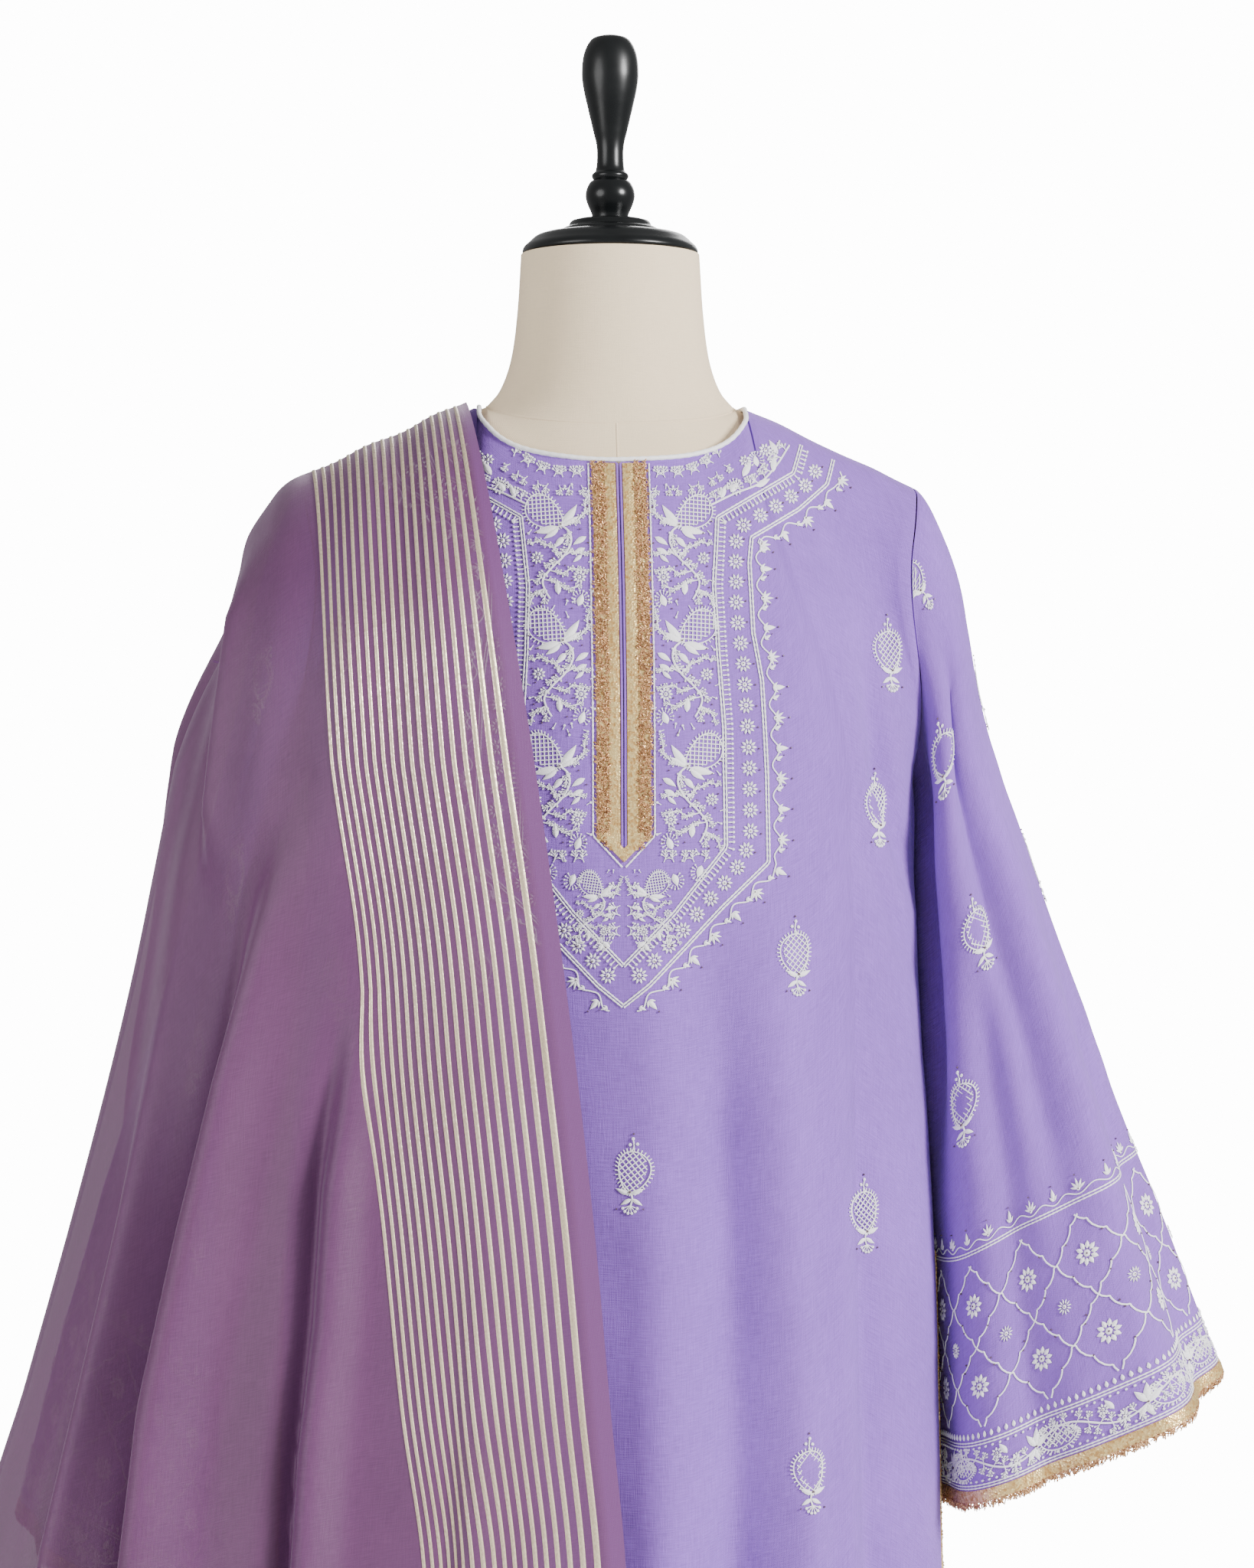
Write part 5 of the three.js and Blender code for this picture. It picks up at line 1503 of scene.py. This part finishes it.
def border_band(length, low):
    """The leaf band of the cuffs: chain lines, repeats of a flowered stem, satin beads."""
    made = Stitches()
    x = np.linspace(0, length, int(length / 1.5) + 1)
    for height in (low, low + 1.7, low + 26, low + 27.8):
        made.chain(np.stack([x, 0 * x + height], -1), 1.15)
    count = int(round(length / BAND_REPEAT))
    pitch = length / count
    wave = np.stack([x, low + 13 + 5.5 * np.sin(x * 2 * np.pi / pitch)], -1)
    made.cord(resample(wave, 1.5), 1.2, 0.6)
    for k in range(count):
        left = pitch * k
        made.net_leaf(left + 10, low + 11.5, 8, 24, 14)
        made.leaves([(left + 36, low + 12, 150, 10, 4, 0.1), (left + 36, low + 12, 100, 11, 4.2, 0),
                     (left + 36, low + 12, 60, 10, 3.8, 0), (left + 37, low + 11, -50, 8, 3.4, 0),
                     (left + 37, low + 11, -100, 8, 3.4, 0), (left + 53, low + 16, 60, 8, 3.4, 0)])
        made.ring_of_petals(left + 49, low + 9, 4.4, 9, 1.7).ring_of_petals(left + 59, low + 18, 3.6, 8, 1.5)
        made.knots([(left + 36, low + 12)], 0.8, 1.2, "bead")
    spots = places_along(wave, 7, 0, 0.72, 1)
    made.stamp(sprig(), spots[spots[:, 0] < length])
    spots[:, 2] += 180
    made.stamp(sprig(), spots[spots[:, 0] < length])
    edge = np.arange(0, length - 1, length / round(length / 4.6))
    made.knots(np.stack([edge, 0 * edge + low + 3.9], -1), 0.85)
    made.knots(np.stack([edge, 0 * edge + low + 23.9], -1), 0.85)
    rows = np.stack([edge, 0 * edge + low + 29.4, 0 * edge + 90, 0 * edge + 4, 0 * edge + 2.3, 0 * edge], -1)
    return made.leaves(rows, 4)


def vine_row(length, low):
    """Two chain lines, and over them a wavy stem with buds and sprays in turn."""
    made = Stitches()
    x = np.linspace(0, length, int(length / 1.5) + 1)
    for height in (low, low + 1.8):
        made.chain(np.stack([x, 0 * x + height], -1), 1.15)
    count = int(round(length / VINE_REPEAT)) * 2
    pitch = length / count
    made.cord(np.stack([x, low + 5.5 + 1.6 * np.cos(x * 2 * np.pi / pitch)], -1), 0.8, 0.5)
    places = [(pitch * (k + 0.5), low + 6, 0, 1, 1) for k in range(count)]
    return made.stamp(bud(), places[::2]).stamp(spray(), places[1::2])


def lattice(length, low, columns):
    """Crossing wavy diagonals with a large or a small rosette in each cell and dark beads about."""
    made = Stitches()
    wide, half = length / columns, 24.4
    t = np.linspace(0, 1, 61)
    lines = []
    for k in range(columns):
        for lean in (-1, 1):
            x = wide * (k + 0.5) + lean * wide * 2 * t
            y = low + 4 * half * t + 1.5 * np.sin(t * 2 * np.pi * 10)
            lines.append(np.stack([x + lean * 1.3 * np.sin(t * 2 * np.pi * 10 + 1), y], -1))
    made.cord(np.array(lines), 1.05, 0.5)
    for k in range(columns):
        for row, small in ((1, False), (2, True), (3, False)):
            x, y = wide * (k + (0.5 if row != 2 else 0.0)), low + row * half
            if small:
                made.ring_of_petals(x, y, 4.8, 12, 1.1)
            else:
                made.ring_of_petals(x, y, 7.4, 10, 3.0, 1.4)
            near = [(x + sx * wide * 0.27, y + sy * half * 0.4) for sx in (-1, 1) for sy in (-1, 1)]
            made.knots(near, 0.7, 0.7, "bead")
    return made


def cuff():
    """From the lace up: the leaf band, the lattice, and the row of buds and sprays."""
    made = border_band(CUFF_ROUND, 9.0)
    made.stamp(lattice(CUFF_ROUND, 45, 12), [(0, 0, 0, 1, 1)])
    return made.stamp(vine_row(CUFF_ROUND, 149), [(0, 0, 0, 1, 1)])


SLEEVE_BUTAS = [
    (0.36, 236), (0.62, 230), (0.87, 232), (0.25, 326), (0.53, 330), (0.78, 328), (0.01, 338),
    (0.03, 452), (0.30, 440), (0.66, 446), (0.20, 545), (0.80, 540),
]


def build_yoke():
    surface = height_net(SURFACES["front"][0], -1)
    sew("yoke_stitches", yoke(), surface, SEWN, OVER_FACES)


def build_spots():
    """Spot motifs over the body and two rows of buds and sprays along the hem, front and back."""
    for side, word, spots in ((-1, "front", BUTAS_FRONT), (1, "back", BUTAS_BACK)):
        surface = height_net(SURFACES[word][0], side)
        made = fitted_spots(surface, spots)
        sew("spot_stitches_" + word, made, surface, SEWN, OVER_FACES)
        hem, length = hem_net(SURFACES[word][0], side)
        made = Stitches().stamp(vine_row(length - 30, 12), [(15, 0, 0, 1, 1)])
        made.stamp(vine_row(length - 30, 42), [(15, 0, 0, 1, 1)])
        sew("hem_stitches_" + word, made, hem, SEWN, OVER_FACES)


def build_cuffs():
    for hand, word in HANDS:
        surface = sleeve_net(SURFACES["sleeve_" + word][0], hand)
        sew("cuff_stitches_" + word, cuff(), surface, SEWN, OVER_FACES)
        made = fitted_spots(surface, [(share * CUFF_ROUND, up) for share, up in SLEEVE_BUTAS])
        sew("sleeve_spots_" + word, made, surface, SEWN, OVER_FACES)


def fitted_spots(surface, places):
    """Spot motifs at places on a net, each narrowed by as much as the net is stretched there."""
    made, one = Stitches(), buta()
    for k, (across, up) in enumerate(places):
        ends, _ = lifted(surface, np.array([(across - 9, up, 0), (across + 9, up, 0)], float))
        wide = np.clip(18 / np.linalg.norm(ends[1] - ends[0]), 0.74, 2.2) * (1 if k % 2 else -1)
        for kind, points, faces in one.parts:
            moved = points * np.array([wide, 1, 1]) + np.array([across, up, 0])
            made.add(moved, faces if wide > 0 else faces[:, ::-1], kind)
    return made


# Laces: woven gold braid and copper tufts

def braid(made, path, low, high, rib=1.3, rise=1.1):
    """A woven strip along a path between two offsets, ribbed across."""
    path = resample(path, rib / 2)
    offsets = np.array([low, low + 0.15, (low * 2 + high) / 3, (low + high * 2) / 3, high - 0.15, high])
    rib_height = 0.22 * np.cos(np.pi * np.arange(len(path)))[:, None]
    heights = np.array([0, 0.8, 1, 1, 0.8, 0])[None, :] * (rise + rib_height * np.array([0, 1, -1, 1, -1, 0]))
    flat = np.stack([beside(path, offset) for offset in offsets], 1)
    points = np.concatenate([flat, heights[..., None]], -1)
    made.add(points.reshape(1, -1, 3), grid_faces(len(path), 6).reshape(-1, 4)[:, ::-1], "braid")


def tufts(made, middle, heading, length, count, chance, rise=1.0):
    """Short bent strands with random leans about their places."""
    start = middle[chance.integers(0, len(middle), count)] + chance.uniform(-0.4, 0.4, (count, 2))
    angle = heading + chance.uniform(-1.1, 1.1, count)
    size = length * chance.uniform(0.7, 1.2, count)
    way = np.stack([np.cos(angle), np.sin(angle)], -1)
    t = np.array([0, 0.5, 1])[None, :, None]
    flat = start[:, None] + way[:, None] * size[:, None, None] * t
    lift = rise * (0.4 + chance.uniform(0.3, 1, count))[:, None] * np.array([0.3, 1, 0.5])[None]
    made.cord(np.concatenate([flat, lift[..., None]], -1), 0.75, 0.5, "tuft")


LACE_FINISHES = {
    "placket": (("braid", "gold_braid", ("placket_lace",)), ("tuft", "copper_tuft", ()),
                ("piping", "kurta_cotton", ())),
    "right": (("braid", "gold_braid", ("cuff_lace_right",)), ("tuft", "copper_tuft", ())),
    "left": (("braid", "gold_braid", ("cuff_lace_left",)), ("tuft", "copper_tuft", ())),
}


def build_placket():
    """Two strips beside the slit: woven gold inside, copper tufts outside, mitred to a point."""
    chance = np.random.default_rng(5)
    surface = height_net(SURFACES["front"][0], -1)
    made = Stitches()
    for sign in (-1, 1):
        foot = PLACKET_POINT_Z
        made.cord(resample([(sign * 1.05, PLACKET_TOP_Z), (sign * 1.05, foot + 6)], 3), 1.6, 1.1, "piping")
        inner = [(sign * 5.4, PLACKET_TOP_Z), (sign * 5.4, foot + 6)]
        braid(made, inner if sign > 0 else inner[::-1], -3.4, 3.4)
        outer = [(sign * 12.4, PLACKET_TOP_Z + 0.3), (sign * 12.4, foot + 11)]
        braid(made, outer if sign > 0 else outer[::-1], -3.7, 3.7, 1.3, 0.7)
        spread = np.concatenate([resample([(sign * x, 1359.2), (sign * x, foot + (x - 2.6) * 1.1)], 0.7)
                                 for x in (9.3, 10.6, 12, 13.4, 14.8, 15.8)])
        tufts(made, spread, 0.0, 2.2, 800, chance, 1.2)
        tufts(made, spread, 2.0, 2.2, 800, chance, 1.2)
    braid(made, [(-13.5, 1134.5), (0, 1120.5), (13.5, 1134.5)], -0.6, 5.4, 1.3, 1.5)
    sew("placket_lace_woven", made, surface, LACE_FINISHES["placket"], 0.1)


def build_cuff_laces():
    """Round each hem: a woven gold strip over a copper fringe."""
    chance = np.random.default_rng(9)
    for hand, word in HANDS:
        surface = sleeve_net(SURFACES["sleeve_" + word][0], hand)
        made = Stitches()
        line = np.array([(0.0, 4.0), (CUFF_ROUND, 4.0)])
        braid(made, line, -3.8, 3.8, 2.6)
        fringe = resample([(0, 1.2), (CUFF_ROUND - 0.4, 1.2)], 0.4)
        tufts(made, fringe, -np.pi / 2, 5.2, 1300, chance, 0.8)
        tufts(made, resample([(0, 0.2), (CUFF_ROUND - 0.4, 0.2)], 0.4), -np.pi / 2, 4.6, 450, chance, 0.1)
        sew("cuff_lace_woven_" + word, made, surface, LACE_FINISHES[word], 0.1)


def build_slit_laces():
    """Copper and gold lace down both edges of each side slit."""
    chance = np.random.default_rng(13)
    for side, panel in SIDES:
        grid, turns = SURFACES[panel]
        for hand, word in HANDS:
            below = grid[:, 0, 2] < SLIT_TOP_Z + 9
            strip = columns_at(grid, turns, hand * np.linspace(0.955, 1, 7))[below]
            up = strip[::-1]
            length = np.cumsum(np.linalg.norm(np.diff(up, axis=0, prepend=up[:1]), axis=-1), 0)[:, 3]
            rows = np.arange(0, length[-1], 1.5)
            normals = grid_normals(strip, side * hand)[::-1]
            values = np.concatenate([up, normals], -1).reshape(len(up), -1)
            net = np.stack([np.interp(rows, length, values[:, k]) for k in range(values.shape[1])], -1)
            surface = (net.reshape(len(rows), 7, 6), (0.0, 0.0), (1.4, 1.5), False)
            made = Stitches()
            high = rows[-1]
            braid(made, [(4.0, 0.5), (4.0, high - 0.5)], -3.6, 3.6)
            spread = np.concatenate([resample([(x, 1), (x, high - 1)], 0.8) for x in (1.2, 3.4, 5.6, 7.4)])
            tufts(made, spread, 1.2, 2.2, 650, chance, 1.2)
            name = "slit_lace_" + panel + "_" + word
            finishes = (("braid", "gold_braid", (name,)), ("tuft", "copper_tuft", ()))
            sew(name + "_woven", made, surface, finishes, 0.1)


def build_piping():
    """White corded piping round the whole neckline: a closed tube on the panels' top edges."""
    rings = []
    for side, panel in SIDES:
        grid, turns = SURFACES[panel]
        chosen = np.abs(turns) <= NECKLINE_SHARE + 1e-6
        edge = grid[0, chosen]
        rings.append(edge if side < 0 else edge[::-1])
    path = np.concatenate(rings)
    path = path[np.r_[True, np.linalg.norm(np.diff(path, axis=0), axis=1) > 0.5]]
    closed = np.concatenate([path, path[:1]])
    along = length_along(closed)
    wanted = np.linspace(0, along[-1], 361)[:-1]
    path = np.stack([np.interp(wanted, along, closed[:, k]) for k in range(3)], -1)
    ahead = unit(np.roll(path, -1, 0) - np.roll(path, 1, 0))
    to_neck = unit(np.cross(ahead, unit(path * np.array([1, 1, 0]))))
    to_neck *= np.sign(to_neck[:, 2:])
    out = unit(np.cross(ahead, to_neck))
    angle = np.linspace(0, 2 * np.pi, 10, endpoint=False)[None, :, None]
    radius = PIPING_RADIUS + 0.12 * np.cos(np.arange(len(path)) * np.pi / 2)[:, None, None]
    centre = path + to_neck * 1.2
    grid = centre[:, None] + radius * (np.cos(angle) * to_neck[:, None] + np.sin(angle) * out[:, None])
    faces = grid_faces(len(path) + 1, 10, True).reshape(-1, 4) % (len(path) * 10)
    piece = make_closed("neck_piping_cord", grid.reshape(-1, 3), faces, material("white_thread"))
    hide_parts("neck_piping")


# The stage

def add_light(name, place, aim, power, size):
    data = bpy.data.lights.new(name, "AREA")
    data.energy = power
    data.shape = "DISK"
    data.size = size
    lamp = bpy.data.objects.new(name, data)
    bpy.context.scene.collection.objects.link(lamp)
    lamp.location = place
    away = np.array(place, float) - np.array(aim, float)
    flat = math.hypot(away[0], away[1])
    lamp.rotation_euler = (math.atan2(flat, away[2]), 0, math.atan2(away[0], -away[1]))


def add_camera(stage):
    data = bpy.data.cameras.new("photo_camera")
    data.sensor_width = 36
    data.lens = stage.lens
    data.clip_end = 100
    camera = bpy.data.objects.new("photo_camera", data)
    bpy.context.scene.collection.objects.link(camera)
    turn = stage.azimuth
    camera.location = (math.sin(turn) * stage.distance, -math.cos(turn) * stage.distance, stage.height)
    camera.rotation_euler = (math.pi / 2, 0, turn - stage.aim_right)
    bpy.context.scene.camera = camera


def build_stage(stage):
    angle = np.linspace(0, 2 * np.pi, 96, endpoint=False)[None, :]
    radius = np.array([0.0, 1200.0, 2300.0, 2380.0])[:, None]
    grid = stacked(radius * np.cos(angle), radius * np.sin(angle), np.array([0, 0, 0, -30.0])[:, None] - 0.2)
    points, faces = welded(grid.reshape(-1, 3), grid_faces(*grid.shape[:2], True).reshape(-1, 4))
    floor = make_closed("studio_floor", points, faces, material("floor"))
    if floor.data.polygons[0].normal.z < 0:
        floor.data.flip_normals()
    floor.parent = None
    world = bpy.data.worlds.new("studio")
    world.use_nodes = True
    tree = world.node_tree
    tree.nodes["Background"].inputs[0].default_value = (1, 1, 1, 1)
    tree.nodes["Background"].inputs[1].default_value = stage.world
    seen = node(tree, "ShaderNodeBackground", {0: (1, 1, 1, 1), 1: stage.backdrop})
    path = node(tree, "ShaderNodeLightPath")
    clear = calculate(tree, "LESS_THAN", path.outputs["Transparent Depth"], 0.5)
    clear = calculate(tree, "MULTIPLY", path.outputs["Is Camera Ray"], clear)
    both = node(tree, "ShaderNodeMixShader", {0: clear,
                                              1: tree.nodes["Background"].outputs[0], 2: seen.outputs[0]})
    tree.links.new(both.outputs[0], tree.nodes["World Output"].inputs[0])
    bpy.context.scene.world = world
    add_light("key", (2.6, -1.9, 2.2), (0, 0, 1.15), stage.key, 1.1)
    add_light("fill", (-2.4, -1.9, 1.7), (0, 0, 1.0), stage.fill, 2.0)
    add_light("rim", (0.6, 2.6, 2.5), (0, 0, 1.1), stage.rim, 1.8)
    add_camera(stage)


# Settings, operators and panel

def colour_setting(name, text, screen):
    return bpy.props.FloatVectorProperty(
        name=name, description=text, subtype="COLOR", size=3, min=0, max=1,
        default=colour(*screen)[:3])


class KurtaColours(bpy.types.PropertyGroup):
    """The colours of the cloths and threads"""
    kurta: colour_setting("Kurta", "Slub cotton of the kurta", (143, 98, 198))
    dupatta: colour_setting("Dupatta", "Sheer organza over the shoulder", (101, 58, 97))
    gold: colour_setting("Gold", "Woven gold braid", (244, 216, 150))
    copper: colour_setting("Copper", "Tufted copper yarn", (240, 192, 140))
    stripe: colour_setting("Stripe", "Dull side of the metallic stripes", (178, 156, 132))
    linen: colour_setting("Linen", "Cover of the dress form", (240, 218, 184))


class KurtaSizes(bpy.types.PropertyGroup):
    """The sizes of the cloths"""
    cloth: bpy.props.FloatProperty(
        name="Cloth", description="Thickness of the kurta's cotton", unit="LENGTH", default=0.0011,
        min=0.0004, max=0.0015)
    stripes: bpy.props.IntProperty(
        name="Stripes", description="Metallic stripes along the dupatta's inner edge", default=18,
        min=2, max=30)


class StageSettings(bpy.types.PropertyGroup):
    """The camera and the lights"""
    distance: bpy.props.FloatProperty(
        name="Distance", description="Camera to the stand's axis", unit="LENGTH", default=2.476)
    height: bpy.props.FloatProperty(
        name="Height", description="Camera above the floor", unit="LENGTH", default=1.166)
    azimuth: bpy.props.FloatProperty(
        name="Azimuth", description="Camera round the stand", subtype="ANGLE", default=math.radians(-3.5))
    aim_right: bpy.props.FloatProperty(
        name="Aim", description="Turn of the camera away from the axis", subtype="ANGLE",
        default=math.radians(0.242))
    lens: bpy.props.FloatProperty(
        name="Lens", description="Focal length in millimetres on a 36 mm long side", default=91.4)
    world: bpy.props.FloatProperty(
        name="Surround", description="Strength of the light from all round", default=0.46)
    backdrop: bpy.props.FloatProperty(
        name="Backdrop", description="Brightness of the backdrop as the camera sees it", default=14.0)
    key: bpy.props.FloatProperty(name="Key", description="Light from the right", unit="POWER", default=225)
    fill: bpy.props.FloatProperty(name="Fill", description="Light from the left", unit="POWER", default=62)
    rim: bpy.props.FloatProperty(name="Rim", description="Light from behind", unit="POWER", default=40)


class KURTA_OT_form(bpy.types.Operator):
    """Build the dress form, its turned cap and finial, and its stand"""
    bl_idname = "kurta.form"
    bl_label = "Dress form and stand"

    def execute(self, context):
        build_form()
        return {"FINISHED"}


class KURTA_OT_panels(bpy.types.Operator):
    """Build the kurta's front and back panels"""
    bl_idname = "kurta.panels"
    bl_label = "Front and back panels"

    def execute(self, context):
        build_panels(context.scene.kurta_sizes.cloth / MM)
        return {"FINISHED"}


class KURTA_OT_sleeves(bpy.types.Operator):
    """Build the bell sleeves"""
    bl_idname = "kurta.sleeves"
    bl_label = "Bell sleeves"

    def execute(self, context):
        build_sleeves(context.scene.kurta_sizes.cloth / MM)
        return {"FINISHED"}


class KURTA_OT_dupatta(bpy.types.Operator):
    """Build the sheer dupatta and its metallic stripes"""
    bl_idname = "kurta.dupatta"
    bl_label = "Dupatta"

    def execute(self, context):
        build_dupatta()
        build_stripes(context.scene.kurta_sizes.stripes)
        return {"FINISHED"}


class KURTA_OT_trims(bpy.types.Operator):
    """Build the neck piping and the gold and copper laces"""
    bl_idname = "kurta.trims"
    bl_label = "Laces and piping"

    def execute(self, context):
        build_piping()
        build_placket()
        build_cuff_laces()
        build_slit_laces()
        return {"FINISHED"}


class KURTA_OT_embroidery(bpy.types.Operator):
    """Build the white embroidery and its dark beads"""
    bl_idname = "kurta.embroidery"
    bl_label = "Embroidery"

    def execute(self, context):
        build_yoke()
        build_spots()
        build_cuffs()
        return {"FINISHED"}


class KURTA_OT_stage(bpy.types.Operator):
    """Set the floor, the backdrop, the lights and the camera"""
    bl_idname = "kurta.stage"
    bl_label = "Studio stage"

    def execute(self, context):
        build_stage(context.scene.kurta_stage)
        return {"FINISHED"}


class KURTA_PT_panel(bpy.types.Panel):
    """The pieces of the kurta set, in the order in which they are built"""
    bl_idname = "KURTA_PT_panel"
    bl_label = "Kurta and dupatta"
    bl_space_type = "VIEW_3D"
    bl_region_type = "UI"
    bl_category = "Kurta"

    def draw(self, context):
        for operator in OPERATORS:
            self.layout.operator(operator.bl_idname)


OPERATORS = (
    KURTA_OT_form, KURTA_OT_panels, KURTA_OT_sleeves, KURTA_OT_trims, KURTA_OT_embroidery, KURTA_OT_dupatta,
    KURTA_OT_stage)
SETTINGS = (
    ("kurta_colours", KurtaColours), ("kurta_sizes", KurtaSizes), ("kurta_stage", StageSettings))


def register():
    for name, kind in SETTINGS:
        bpy.utils.register_class(kind)
        setattr(bpy.types.Scene, name, bpy.props.PointerProperty(type=kind))
    for kind in OPERATORS + (KURTA_PT_panel,):
        bpy.utils.register_class(kind)


def unregister():
    for kind in (KURTA_PT_panel,) + OPERATORS[::-1]:
        bpy.utils.unregister_class(kind)
    for name, kind in SETTINGS[::-1]:
        delattr(bpy.types.Scene, name)
        bpy.utils.unregister_class(kind)


def main():
    register()
    bpy.ops.kurta.form()
    bpy.ops.kurta.panels()
    bpy.ops.kurta.sleeves()
    bpy.ops.kurta.trims()
    bpy.ops.kurta.embroidery()
    bpy.ops.kurta.dupatta()
    bpy.ops.kurta.stage()


if __name__ == "__main__":
    main()
